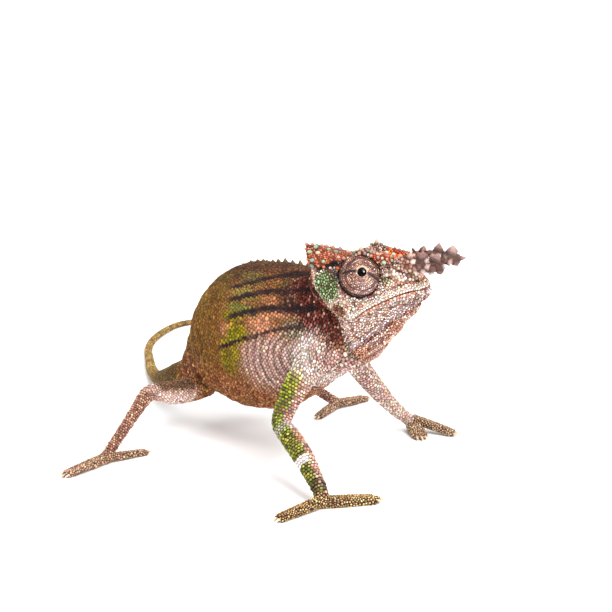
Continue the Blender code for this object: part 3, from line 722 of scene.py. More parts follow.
def trunk_markings(survey, chance, tone):
    """Dark stripes that climb forward, green and rust patches between them, and a pale shoulder."""
    p = survey.points
    wander, fleck = cloud(p, 5.0, 1), cloud(p, 1.6, 2)
    x, z = p[:, 0] + 0.9 * wander, p[:, 2] + 0.5 * fleck
    flank = np.column_stack([x, z])
    dark, light = tone.trunk * 0.8, tone.trunk * 1.18
    colour = Layers(chance, ramp(chance + 0.25 * fleck, dark, tone.trunk, light))
    colour.lay(rise(-14.0, -20.0, x), (0.38, 0.24, 0.06), (0.47, 0.31, 0.09), (0.54, 0.37, 0.12))
    colour.lay(1 - rise(12.5, 17.5, z), (0.40, 0.21, 0.11), (0.57, 0.35, 0.20), (0.73, 0.51, 0.35))
    low = egg(flank, (-2.5, 19.7), (8.6, 5.7), 0.45)
    colour.lay(low, (0.66, 0.51, 0.47), (0.72, 0.57, 0.52), (0.77, 0.63, 0.58))
    arc = shoulder_arcs(p)
    colour.lay(low * rise(0.1, 0.9, -arc) * 0.5, (0.40, 0.27, 0.24))
    colour.lay(low * rise(0.3, 0.9, arc) * 0.5, (0.82, 0.72, 0.68))
    colour.lay(rise(-1.0, 2.0, p[:, 2] - 36.3 - 0.28 * x) * 0.85, (0.16, 0.08, 0.04), (0.36, 0.21, 0.10))
    colour.lay(rise(0.1, 0.6, cloud(p, 6.0, 13)) * rise(-9.0, -15.0, x) * 0.5, (0.31, 0.20, 0.07))
    colour.lay(rise(0.1, 0.6, -cloud(p, 5.0, 14)) * rise(-9.0, -15.0, x) * 0.4, (0.50, 0.42, 0.12))
    for centre, radii, strength in (
        ((-6.6, 26.5), (3.4, 2.0), 0.9),
        ((-2.4, 28.9), (2.6, 1.0), 0.8),
        ((-14.7, 23.6), (2.0, 1.6), 0.85),
        ((-5.0, 30.8), (2.2, 0.9), 0.4),
    ):
        rust = ramp(chance, tone.rust * 0.85, tone.rust, tone.rust * 1.1)
        colour.lay(egg(flank, centre, radii, 0.45) * strength, rust)
    for centre, radii, olive in (
        ((-11.8, 33.6), (3.6, 1.1), (0.40, 0.33, 0.15)),
        ((-12.2, 31.0), (3.6, 1.1), (0.50, 0.44, 0.19)),
        ((-12.2, 28.2), (3.6, 1.1), (0.46, 0.46, 0.17)),
        ((-2.0, 34.6), (2.6, 1.2), (0.30, 0.26, 0.14)),
    ):
        colour.lay(egg(flank, centre, radii, 0.5) * 0.9, olive)
    green = egg(flank, (-12.4, 23.6), (2.6, 1.9))
    green = np.maximum(green, egg(flank, (-14.2, 19.6), (2.8, 3.8)) * (0.7 + 0.5 * fleck))
    green = np.maximum(green, egg(flank, (-14.0, 26.4), (2.4, 0.9)) * 0.8)
    colour.lay(green, tone.green * 0.78, tone.green, tone.green * 1.12)
    speckle = ramp(chance, (0.13, 0.06, 0.05), (0.30, 0.16, 0.12), (0.55, 0.38, 0.31))
    colour.lay(egg(flank, (0.8, 32.0), (4.2, 2.8), 0.35) * 0.85, speckle)
    maroon = ramp(
        chance, tone.maroon * 0.4, tone.maroon, tone.maroon * 1.35, (0.50, 0.26, 0.20), (0.72, 0.55, 0.48)
    )
    colour.lay(egg(flank, (2.5, 35.0), (5.5, 2.6), 0.35) * 0.8, maroon)
    nape = ramp(chance, tone.maroon * 0.4, tone.maroon * 0.8, tone.maroon * 1.2)
    colour.lay(egg(flank, (4.5, 34.0), (4.5, 2.4), 0.35) * 0.75, nape)
    colour.lay(egg(flank, (5.4, 30.6), (4.6, 4.6), 0.3), maroon)
    colour.lay(egg(flank, (9.4, 27.6), (3.0, 3.6), 0.3) * 0.85, maroon)
    colour.lay(egg(flank, (1.2, 26.6), (2.6, 1.6), 0.5) * 0.7, (0.40, 0.38, 0.32), (0.62, 0.62, 0.54))
    pale = ramp(
        chance + 0.2 * fleck, (0.66, 0.55, 0.50), (0.84, 0.79, 0.76), (0.91, 0.88, 0.85), (0.97, 0.95, 0.93)
    )
    colour.lay(egg(flank, (5.8, 20.8), (5.0, 6.4), 0.3) * 0.95, pale)
    chest = ramp(chance, (0.58, 0.42, 0.38), (0.76, 0.62, 0.58), (0.88, 0.80, 0.76))
    colour.lay(rise(6.5, 9.5, x) * (1 - rise(23.5, 26.5, z)), chest)
    colour.lay(egg(flank, (6.0, 19.0), (8.0, 9.0)) * rise(0.2, 0.6, fleck) * 0.5, (0.74, 0.50, 0.43))
    for line, half, strength in STRIPES:
        xs, zs = np.array(line).T
        away = np.abs(p[:, 2] + 0.35 * cloud(p, 2.2, 8) - np.interp(x, xs, zs))
        band = 1 - rise(0.5 * half, 1.7 * half, away)
        band *= rise(xs[0], xs[0] + 3.0, x) * (1 - rise(xs[-1] - 1.0, xs[-1] + 1.5, x))
        colour.lay(band * strength * (0.7 + 0.6 * grain(p, 1.2, 9)), tone.stripe)
    return colour.seen


def shoulder_arcs(points):
    """Waves from -1 to 1 along folds that ring the shoulder."""
    away = np.hypot(points[:, 0] - 4.5, 1.15 * (points[:, 2] - 21.0)) + 0.5 * cloud(points, 4.0, 12)
    return np.cos(2 * math.pi * away / 1.6)


def leg_markings(survey, chance, tone):
    """Forelegs yellow-green outside, pink inside, with rust spots and a white band. Hind legs paler."""
    p, n = survey.points, survey.normals
    share = survey.share + 0.015 * cloud(p, 2.0, 21)
    right = np.where(survey.leg % 2 == 0, -1.0, 1.0)
    outward = -0.55 * n[:, 0] + 0.8 * right * n[:, 1] + 0.2 * cloud(p, 1.5, 22)
    outer = rise(-0.15, 0.3, outward)
    pink = ramp(chance, (0.60, 0.40, 0.34), (0.78, 0.61, 0.54), (0.89, 0.78, 0.72))
    green = ramp(
        chance,
        tone.leg_green * 0.6,
        tone.leg_green,
        tone.leg_green * (1.0, 1.13, 0.9),
        tone.leg_green * (1.1, 1.22, 1.1),
    )
    colour = Layers(chance, paint(pink, green, outer))
    colour.lay(outer * rise(0.2, 0.3, share), green * 0.8)
    colour.lay((1 - rise(0.10, 0.18, share)) * 0.9, (0.58, 0.50, 0.42), (0.80, 0.78, 0.70))
    fore = rise(0.42, 0.55, share) * outer * 0.85
    colour.lay(fore, (0.28, 0.29, 0.08), (0.50, 0.50, 0.18), (0.66, 0.64, 0.30))
    colour.lay(rise(0.25, 0.6, cloud(p, 1.7, 23)) * rise(0.15, 0.3, share) * 0.75, tone.rust)
    colour.lay(rise(0.35, 0.8, cloud(p, 1.3, 25)) * 0.6, (0.24, 0.14, 0.12))
    colour.lay((1 - rise(0.02, 0.05, np.abs(share - 0.50))) * (0.4 + 0.5 * chance), (0.70, 0.68, 0.66))
    colour.lay((1 - rise(0.012, 0.024, np.abs(share - 0.735))) * rise(-0.2, 0.1, outward), (0.97, 0.96, 0.96))
    # Painted shade on the side of each foreleg that faces back
    colour.lay(rise(0.4, 0.85, -n[:, 0]) * rise(0.2, 0.35, share) * 0.8, (0.17, 0.15, 0.08))
    colour.lay(rise(0.79, 0.84, share) * rise(-0.3, 0.4, cloud(p, 1.6, 26)) * 0.7, (0.24, 0.19, 0.11))
    hand = ramp(chance, (0.50, 0.35, 0.19), (0.74, 0.58, 0.36), (0.90, 0.79, 0.57))
    colour.lay(rise(0.9, 0.96, share), hand)
    left = (survey.leg == 1).astype(float)
    far = ramp(chance, (0.68, 0.54, 0.49), (0.79, 0.68, 0.63), (0.88, 0.80, 0.77))
    colour.lay(left * (0.88 - 0.35 * outer) * (1 - rise(0.88, 0.96, share)), far)
    colour.lay(left * rise(0.88, 0.96, share) * 0.7, (0.62, 0.48, 0.38), (0.80, 0.70, 0.60))
    hind = Layers(chance, (0.76, 0.59, 0.54), (0.89, 0.76, 0.71), (0.96, 0.89, 0.86))
    upper = ramp(chance, (0.24, 0.14, 0.07), (0.46, 0.30, 0.15))
    hind.lay(rise(0.0, 0.7, n[:, 2]) * (1 - rise(0.4, 0.55, share)) * 0.85, upper)
    hind.lay(rise(0.5, 0.62, share), (0.48, 0.30, 0.23), (0.66, 0.47, 0.38), (0.80, 0.63, 0.54))
    hind.lay(rise(0.1, 0.7, cloud(p, 2.2, 24)) * 0.6, (0.44, 0.31, 0.24))
    hind.lay(rise(0.9, 0.97, share), (0.54, 0.40, 0.30), (0.80, 0.66, 0.55))
    return paint(colour.seen, hind.seen, (survey.leg > 1).astype(float))


def tail_markings(survey, chance):
    """Brown, paler towards the tip, with darker rings and olive patches."""
    p = survey.points
    colour = Layers(chance, (0.28, 0.21, 0.10), (0.44, 0.34, 0.16))
    paler = rise(0.10, 0.35, survey.tail_share)
    colour.lay(paler, (0.48, 0.36, 0.18), (0.64, 0.50, 0.28), (0.76, 0.64, 0.42))
    rings = np.sin(survey.tail_share * 2 * math.pi * 17 + 2 * cloud(p, 4.0, 31))
    colour.lay(rise(0.2, 0.9, rings) * 0.5, (0.40, 0.28, 0.16))
    return paint(colour.seen, (0.54, 0.51, 0.25), rise(0.2, 0.6, cloud(p, 3.0, 32)) * 0.45)


def head_markings(survey, chance, tone):
    """Orange casque, green temple, cream and pink cheeks, a white lip and rows of orange on the throat."""
    h, p = survey.head, survey.points
    fleck = cloud(p, 1.3, 41)
    patch = cloud(p, 2.4, 43)
    side_view = np.column_stack([h[:, 0] + 0.3 * fleck, h[:, 2] + 0.25 * cloud(p, 1.1, 42)])
    x, z = side_view.T
    lip = below_mouth(h)
    cheek = (
        (0.50, 0.30, 0.24), (0.72, 0.56, 0.48), (0.83, 0.74, 0.67), (0.92, 0.87, 0.81), (0.98, 0.96, 0.94)
    )
    colour = Layers(chance, ramp(chance + 0.2 * fleck, *cheek))
    colour.lay(rise(0.1, 0.5, patch) * 0.5, (0.54, 0.44, 0.42), (0.78, 0.71, 0.69), (0.90, 0.86, 0.84))
    colour.lay(rise(0.1, 0.5, -patch) * 0.45, (0.55, 0.27, 0.16), (0.78, 0.50, 0.36))
    crown = ramp(chance, (0.27, 0.15, 0.13), (0.51, 0.35, 0.30), (0.69, 0.53, 0.47), (0.81, 0.72, 0.65))
    colour.lay(rise(0.2, 2.2, z) * 0.85, crown)
    colour.lay(egg(side_view, (4.7, -0.3), (1.0, 0.8), 0.5) * 0.6, (0.26, 0.30, 0.14), (0.50, 0.50, 0.32))
    colour.lay(snout_side(survey) * 0.8, (0.60, 0.40, 0.28), (0.80, 0.68, 0.59), (0.96, 0.93, 0.90))
    # The temple's green scales, paler along the head's rear edge, and the brown patch below them
    temple = egg(side_view, *TEMPLE, 0.2)
    colour.lay(temple, (0.40, 0.46, 0.32), (0.66, 0.72, 0.56), (0.80, 0.80, 0.70))
    mint = ramp(
        chance, (0.42, 0.29, 0.20), tone.temple * 0.65, tone.temple * 0.95, tone.temple, (0.78, 0.86, 0.72)
    )
    colour.lay(egg(side_view, (-6.3, -2.6), (2.2, 2.6), 0.3) * 0.9, mint)
    colour.lay(egg(side_view, (-4.9, -0.2), (0.7, 1.1), 0.4) * 0.5, (0.09, 0.06, 0.06))
    brown = ramp(chance, (0.36, 0.20, 0.14), (0.52, 0.34, 0.24), (0.62, 0.45, 0.34))
    colour.lay(egg(side_view, (-4.0, -6.7), (1.6, 1.2)) * 0.95, brown)
    # The casque's wall above the crest, and painted shadow under the crest
    wall = casque_wall(h)
    orange = ramp(chance, tone.casque * 0.42, tone.casque * 0.66, tone.casque * 0.86, (0.76, 0.46, 0.33))
    colour.lay(wall, orange)
    colour.lay(wall * rise(1.4, 3.2, h[:, 2]) * 0.7, (0.50, 0.28, 0.22), (0.74, 0.50, 0.42))
    below = h[:, 2] - casque_foot(h)
    # Below the crest's foot: dark to pale tones, the darkest of them painted shadow under its overhang
    under = rise(-0.2, 0.2, h[:, 2]) * (1 - rise(-0.3, 0.0, below)) * (1 - rise(-4.6, -3.6, h[:, 0]))
    colour.lay(under, (0.12, 0.07, 0.06), (0.42, 0.31, 0.28), (0.78, 0.70, 0.64))
    # Painted shadow: a near-black line just under the crest
    under = (1 - rise(0.25, 0.5, np.abs(below + 0.25))) * rise(-9.4, -8.4, h[:, 0])
    colour.lay(under * (1 - rise(-4.9, -4.1, h[:, 0])) * rise(2.6, 3.0, survey.side), (0.07, 0.04, 0.05))
    # The brow in front of the eye
    bright = ramp(chance, tone.brow * 0.45, tone.brow * 0.8, tone.brow, (0.88, 0.56, 0.36))
    colour.lay(front_brow(survey), bright)
    # The eye's groove with its painted shadow, the nostril and the lips
    colour.lay(1 - rise(4.1, 4.35, survey.eye), (0.10, 0.04, 0.04))
    # Painted shade in the nostril's hollow
    nostril = np.hypot(*(h[:, (0, 2)] - NOSTRIL_AT).T)
    colour.lay((1 - rise(0.2, 0.35, nostril)) * rise(0.5, 1.0, survey.side) * 0.8, (0.10, 0.05, 0.05))
    pale = ramp(chance, (0.84, 0.74, 0.68), (0.95, 0.91, 0.87))
    colour.lay((1 - rise(0.2, 0.45, np.abs(lip - 0.55))) * rise(-3.0, -1.0, x), pale)
    # The line above the upper lip's scales
    above_lip = (1 - rise(0.08, 0.3, np.abs(lip - 1.7))) * rise(0.5, 2.5, x)
    colour.lay(above_lip * 0.5, (0.56, 0.34, 0.25))
    on_jaw = (1 - rise(-0.2, 0.0, lip)) * rise(-9.0, -7.0, h[:, 0])
    row = throat_row(h)
    # The lower jaw and the throat
    jaw = Layers(chance, (0.50, 0.30, 0.26), (0.77, 0.64, 0.57), (0.89, 0.82, 0.77), (0.97, 0.95, 0.92))
    edge = (1 - rise(0.15, 0.7, np.abs(row - 0.2))) * 0.6
    jaw.lay(edge, (0.54, 0.48, 0.50), (0.76, 0.73, 0.77), (0.90, 0.88, 0.91))
    broken = 0.25 + 0.75 * rise(-0.3, 0.3, cloud(p, 1.7, 44))
    jaw.lay((1 - rise(0.1, 0.6, np.abs(row + 0.75))) * 0.8 * broken, (0.34, 0.16, 0.14), (0.60, 0.38, 0.34))
    throat = ramp(chance, (0.54, 0.34, 0.29), (0.85, 0.66, 0.57), (0.95, 0.82, 0.74), (0.98, 0.94, 0.90))
    jaw.lay((1 - rise(-1.9, -1.1, row)) * 0.95, throat)
    broad = rise(0.2, 0.9, np.cos(2 * math.pi * row / 2.2)) * (1 - rise(-2.6, -1.8, row)) * 0.7
    jaw.lay(broad, (0.44, 0.29, 0.29), (0.74, 0.59, 0.58))
    middle = (1 - rise(1.0, 2.2, survey.side)) * (1 - rise(-5.0, -3.0, row)) * 0.8
    jaw.lay(middle, (0.74, 0.56, 0.46), (0.90, 0.80, 0.72))
    waves = np.cos(2 * math.pi * (row + 0.15 * cloud(p, 2.0, 45)) / 0.95)
    lines = rise(0.1, 0.8, waves) * (1 - rise(-0.9, 0.3, row))
    jaw.lay(lines * (0.2 + 0.5 * rise(-0.4, 0.4, cloud(p, 2.6, 46))), (0.56, 0.37, 0.33))
    orange = rise(0.0, 0.6, -cloud(p, 2.8, 47)) * (1 - rise(-1.2, 0.0, row)) * 0.6
    jaw.lay(orange, (0.66, 0.37, 0.24), (0.87, 0.60, 0.44))
    colour.lay(on_jaw, jaw.seen)
    behind = (1 - rise(0.2, 1.6, survey.behind)) * (1 - rise(-4.0, -2.0, z))
    colour.lay(behind * 0.8, (0.32, 0.20, 0.17), (0.56, 0.44, 0.38), (0.70, 0.66, 0.58))
    # Painted shade along the crease where the lips meet
    mouth = (1 - rise(0.04, 0.16, np.abs(lip))) * rise(-2.0, 0.0, h[:, 0])
    return paint(colour.seen, (0.50, 0.25, 0.19), mouth)


def markings(survey, chance, tone):
    """The animal's colours at the surveyed points. chance is a random number from 0 to 1 for each."""
    chance = np.clip(chance, 0, 1)
    colour = trunk_markings(survey, chance, tone)
    colour = paint(colour, head_markings(survey, chance, tone), survey.on_head)
    colour = paint(colour, tail_markings(survey, chance), survey.on_tail)
    return np.clip(paint(colour, leg_markings(survey, chance, tone), survey.on_leg), 0, 1)


# The skin


def skin_shells():
    """Closed shells of every part of the flesh, sunk by the coat's depth."""
    shells = [
        loft_object("trunk", Loft(TRUNK, 60).rings(64, -COAT)),
        loft_object("throat", Loft(THROAT, 30, head=True).rings(48, -COAT)),
        loft_object("skull", Loft(SKULL, 40, head=True).rings(64, -COAT)),
        loft_object("casque", Loft(CASQUE, 30, 1.35, head=True).rings(48, -COAT)),
        loft_object("tail", tail_loft().rings(20, -COAT)),
    ]
    shells.append(loft_object("ridge", Loft(CASQUE_RIDGE, 20, ELLIPSE, head=True).rings(16, -COAT)))
    for side in (-1, 1):
        ridge = [(x, side * y, z, r) for x, y, z, r in CREST]
        shells.append(loft_object("crest", Loft(ridge, 30, ELLIPSE, head=True).rings(20, -COAT)))
        cheek = from_head([np.multiply(CHEEK_AT, (1, side, 1))])[0]
        shells.append(ball_object("cheek", cheek, CHEEK_RADIUS - COAT, (1.15, 0.85, 1.0)))
    for name, (path, palm, _, _) in LEGS.items():
        shells.append(loft_object("leg", leg_loft(path).rings(28, -COAT)))
        x, y = path[-1][:2]
        shells.append(ball_object("palm", (x, y, 0.8 * palm), palm - COAT, segments=24, rings=14))
        for rows, _ in toe_paths(name):
            shells.append(loft_object("toe", Loft(rows, 18, ELLIPSE).rings(16, -0.6 * COAT)))
    return shells


def relief(survey):
    """How far the skin stands out or in from its plain form: lips, grooves, folds and wrinkles."""
    p, h = survey.points, survey.head
    lip = below_mouth(h)
    front = rise(-2.5, -1.0, h[:, 0]) * survey.on_head
    out = 0.16 * cloud(p, 3.5, 61) * (1 - survey.on_leg) * (1 - survey.on_tail)
    out += front * 0.18 * np.exp(-(((lip - 0.45) / 0.28) ** 2))
    out += front * 0.14 * np.exp(-(((lip + 0.5) / 0.3) ** 2))
    out -= front * 0.2 * np.exp(-((lip / 0.18) ** 2))
    out -= front * 0.06 * np.exp(-(((lip - 1.7) / 0.25) ** 2))
    out -= survey.on_head * 0.35 * np.exp(-(((survey.eye - 4.15) / 0.22) ** 2))
    nostril = np.hypot(*(h[:, (0, 2)] - NOSTRIL_AT).T) + 3 * (survey.side < 0.7)
    out -= 0.45 * np.exp(-((nostril / 0.3) ** 2)) * survey.on_head
    row = throat_row(h)
    jaw = (1 - rise(-1.0, -0.4, lip)) * survey.on_head
    out += jaw * 0.14 * np.cos(2 * math.pi * row / 1.45)
    out -= 0.5 * np.exp(-((survey.behind / 0.7) ** 2)) * rise(-12.0, -9.0, p[:, 0])
    folds = np.cos(2 * math.pi * (p[:, 0] + 0.35 * p[:, 2] + 1.5 * cloud(p, 6.0, 62)) / 3.1)
    flank = (1 - survey.on_leg) * (1 - survey.on_head) * (1 - survey.on_tail)
    out += flank * 0.10 * folds * (1 - rise(24.0, 30.0, p[:, 2]))
    out += flank * 0.12 * shoulder_arcs(p) * egg(p[:, (0, 2)], (-1.5, 20.0), (8.5, 6.5), 0.3)
    out += survey.on_leg * (1 - survey.on_foot) * 0.07 * np.cos(2 * math.pi * survey.share * 26)
    return out


def clear_of_lids(survey):
    """Moves that draw the skin in behind each domed lid, and lift the brow over the lid's inner half."""
    h = survey.head
    mirror = np.column_stack([np.ones(len(h)), np.where(h[:, 1] < 0, -1, 1), np.ones(len(h))])
    away = h * mirror - EYE_AT
    reach = np.linalg.norm(away, axis=1)
    lift = away * (np.maximum(LID_ROOM / reach, 1) - 1)[:, None] * (survey.brow * (reach < LID_ROOM))[:, None]
    inside = (1 - rise(3.7, 4.1, survey.eye)) * survey.on_head
    return turned((lift - (0, 1.4, 0) * inside[:, None]) * mirror)


class CHAMELEON_OT_skin(bpy.types.Operator):
    """Build the one skin that covers head, neck, trunk, legs and tail"""

    bl_idname = "chameleon.skin"
    bl_label = "Skin"

    def execute(self, context):
        shape, tone = context.scene.chameleon_shape, Tone(context.scene.chameleon_colours)
        skin = joined(skin_shells(), "skin")
        skin.data.remesh_voxel_size = shape.skin_cell
        skin.data.remesh_voxel_adaptivity = 0.0
        bpy.ops.object.voxel_remesh()
        edges = read(skin.data.edges, "vertices", 2, np.int32)
        points = evened(points_of(skin), edges, 5)
        set_points(skin, points)
        survey = Survey(points, normals_of(skin))
        points = points + survey.normals * relief(survey)[:, None] + clear_of_lids(survey)
        points[:, 2] = np.maximum(points[:, 2], 0.02)
        points = evened(points, edges, 1)
        set_points(skin, points)
        skin.data.shade_smooth()
        survey = Survey(points, normals_of(skin))
        colour = markings(survey, grain(points, 0.5, 71), tone)
        # The skin shows between the scales in the net's colour, which is partly painted shade
        set_tint(skin, net_and_shade_colour(survey, colour))
        adopt(skin, "skin", material("skin", 0.65, 0.5, 0.25, 0.12, specular=0.12), *FLESH)
        made["skin"] = skin
        return {"FINISHED"}


# The scales


def surface_of(obj):
    """The object's shape for finding the nearest place on it."""
    points, faces = points_of(obj), triangles_of(obj)
    return {
        "points": points,
        "faces": faces,
        "normals": normals_of(obj),
        "tree": BVHTree.FromPolygons(points.tolist(), faces.tolist(), all_triangles=True),
    }


def settle(surface, places):
    """The nearest places on the surface, with the direction out of it there."""
    tree, faces, normals = surface["tree"], surface["faces"], surface["normals"]
    found = np.empty((len(places), 3))
    index = np.empty(len(places), int)
    for i, place in enumerate(places.tolist()):
        spot, _, face, _ = tree.find_nearest(place)
        found[i] = spot
        index[i] = face
    return found, unit(normals[faces[index]].mean(axis=1))


def scattered(surface, count, rng):
    """Random places spread evenly over the surface."""
    corners = surface["points"][surface["faces"]]
    area = np.linalg.norm(np.cross(corners[:, 1] - corners[:, 0], corners[:, 2] - corners[:, 0]), axis=1)
    picked = rng.choice(len(corners), count, p=area / area.sum())
    a, b = rng.random((2, count, 1))
    over = a + b > 1
    a, b = np.where(over, 1 - a, a), np.where(over, 1 - b, b)
    some = corners[picked]
    places = some[:, 0] + a * (some[:, 1] - some[:, 0]) + b * (some[:, 2] - some[:, 0])
    return places, unit(surface["normals"][surface["faces"][picked]].mean(axis=1))


def in_rows(loft, size, first, last):
    """Places in rings round a loft, size apart, each ring half a step on from the one before."""
    places = []
    count = max(int((loft.length[last] - loft.length[first]) / (0.87 * size)), 1)
    for n, at in enumerate(np.linspace(loft.length[first], loft.length[last], count)):
        i = int(np.clip(np.searchsorted(loft.length, at), 1, len(loft.length) - 1))
        t = (at - loft.length[i - 1]) / (loft.length[i] - loft.length[i - 1])
        tall = 0.5 * loft.above[i] + 0.5 * loft.below[i]
        around = 2 * math.pi * math.sqrt((loft.wide[i] ** 2 + tall**2) / 2)
        sides = max(int(around / size), 5)
        turns = (np.arange(sides) + 0.5 * (n % 2)) * 2 * math.pi / sides
        places.append((1 - t) * loft.ring(i - 1, turns) + t * loft.ring(i, turns))
    return np.concatenate(places)


def style(survey):
    """Each scale's size, height, point, stretch and the gap round it, from where it lies."""
    h, p = survey.head, survey.points
    side_view = h[:, (0, 2)]
    values = {"size": 0.58, "height": 0.12, "point": 0.1, "stretch": 1.15, "gap": 0.05}
    values = {key: np.full(len(p), value) for key, value in values.items()}

    def blend(mask, **changes):
        for key, value in changes.items():
            values[key] += (value - values[key]) * mask

    head = survey.on_head
    blend(head, size=0.37, height=0.14, stretch=1.0, gap=0.035)
    shoulder = egg(p[:, (0, 2)], (5.6, 23.0), (5.0, 8.0), 0.2) * (1 - head)
    neck = egg(p[:, (0, 2)], (6.0, 31.0), (6.0, 5.5), 0.2) * (1 - head)
    blend(neck, size=0.47, height=0.14)
    blend(shoulder, size=0.56, height=0.18, stretch=1.65, gap=0.07)
    blend((1 - rise(-1.4, -1.0, below_mouth(h))) * head, size=0.4, height=0.2, point=0.6, stretch=1.45)
    temple = egg(side_view, *TEMPLE, 0.15) * head
    blend(temple, size=0.5, height=0.2, stretch=1.5, gap=0.13)
    wall = rise(0.2, 0.5, h[:, 2]) * (1 - rise(-4.0, -3.0, h[:, 0])) * head
    blend(wall, size=0.42, height=0.15)
    blend(snout_side(survey), size=0.56, height=0.2, gap=0.0, stretch=1.15)
    blend((1 - rise(4.9, 5.4, survey.eye)) * head, size=0.36, height=0.17, point=0.5)
    leg = survey.on_leg
    blend(leg, size=0.48, height=0.15, stretch=1.2)
    blend(leg * (survey.leg < 2), size=0.62, stretch=1.45, gap=0.07, height=0.17)
    blend(survey.on_foot, size=0.43, height=0.13, stretch=1.0, gap=0.08)
    blend(survey.on_foot * (survey.leg < 2), gap=0.15)
    tail = survey.on_tail
    blend(tail, size=0.5, height=0.11, stretch=1.0)
    blend(rise(0.4, 0.5, tail), size=0.5 - 0.14 * survey.tail_share, height=0.13 - 0.06 * survey.tail_share)
    return values


def kept_apart(places, sizes, share):
    """Which places to keep, in order, so that none lies within share of its size of another."""
    cell = float(sizes.max())
    grid = {}
    kept = []
    cells = np.floor(places / cell).astype(int).tolist()
    spots, widths = places.tolist(), sizes.tolist()
    near = [(a, b, c) for a in (-1, 0, 1) for b in (-1, 0, 1) for c in (-1, 0, 1)]
    for i, (key, spot, width) in enumerate(zip(cells, spots, widths)):
        x, y, z = spot
        free = True
        for a, b, c in near:
            for ox, oy, oz, other in grid.get((key[0] + a, key[1] + b, key[2] + c), ()):
                apart = share * 0.5 * (width + other)
                if (x - ox) ** 2 + (y - oy) ** 2 + (z - oz) ** 2 < apart * apart:
                    free = False
                    break
            if not free:
                break
        if free:
            grid.setdefault(tuple(key), []).append((x, y, z, width))
            kept.append(i)
    return np.array(kept, int)


def neighbours(places, count):
    tree = KDTree(len(places))
    for i, place in enumerate(places.tolist()):
        tree.insert(place, i)
    tree.balance()
    return np.array([[item[1] for item in tree.find_n(place, count + 1)][1:] for place in places.tolist()])


def eased(surface, places, sizes, rounds):
    """Places pushed a little away from their neighbours, and back on to the surface."""
    for _ in range(rounds):
        near = neighbours(places, 7)
        away = places[:, None] - places[near]
        apart = np.linalg.norm(away, axis=2)
        wish = 0.5 * (sizes[:, None] + sizes[near])
        push = np.clip(wish - apart, 0, None) / np.maximum(apart, 1e-6)
        places = places + 0.3 * (away * push[:, :, None]).sum(axis=1)
        places, normals = settle(surface, places)
    return places, normals


def outlines(places, normals, sizes, axes, stretch, sides, gap, rng):
    """Each scale's place, its two directions on the skin, and its reach half way to its neighbours."""
    near = neighbours(places, 9)
    first = unit(axes - normals * (axes * normals).sum(1, keepdims=True))
    second = np.cross(normals, first)
    away = places[near] - places[:, None]
    dx = (away * first[:, None]).sum(2) / stretch[:, None]
    dy = (away * second[:, None]).sum(2)
    facing = (normals[near] * normals[:, None]).sum(2)
    weight = sizes[:, None] / (sizes[:, None] + sizes[near])
    half = (dx**2 + dy**2) * weight
    turns = (np.arange(sides) + 0.5) * 2 * math.pi / sides
    turns = turns[None] + 0.3 * rng.random((len(places), 1))
    along = dx[:, :, None] * np.cos(turns)[:, None] + dy[:, :, None] * np.sin(turns)[:, None]
    half_way = half[:, :, None] / np.maximum(along, 1e-4)
    room = np.where((along > 1e-4) & (facing[:, :, None] > 0), half_way, 9.0).min(1)
    room = np.minimum(room, 0.78 * sizes[:, None])
    room = 0.18 * np.roll(room, 1, 1) + 0.64 * room + 0.18 * np.roll(room, -1, 1)
    room = np.maximum(room - np.reshape(gap, (-1, 1)) / 2, 0.3 * room)
    return {
        "places": places, "normals": normals, "stretch": stretch,
        "first": first, "second": second, "room": room, "turns": turns,
    }


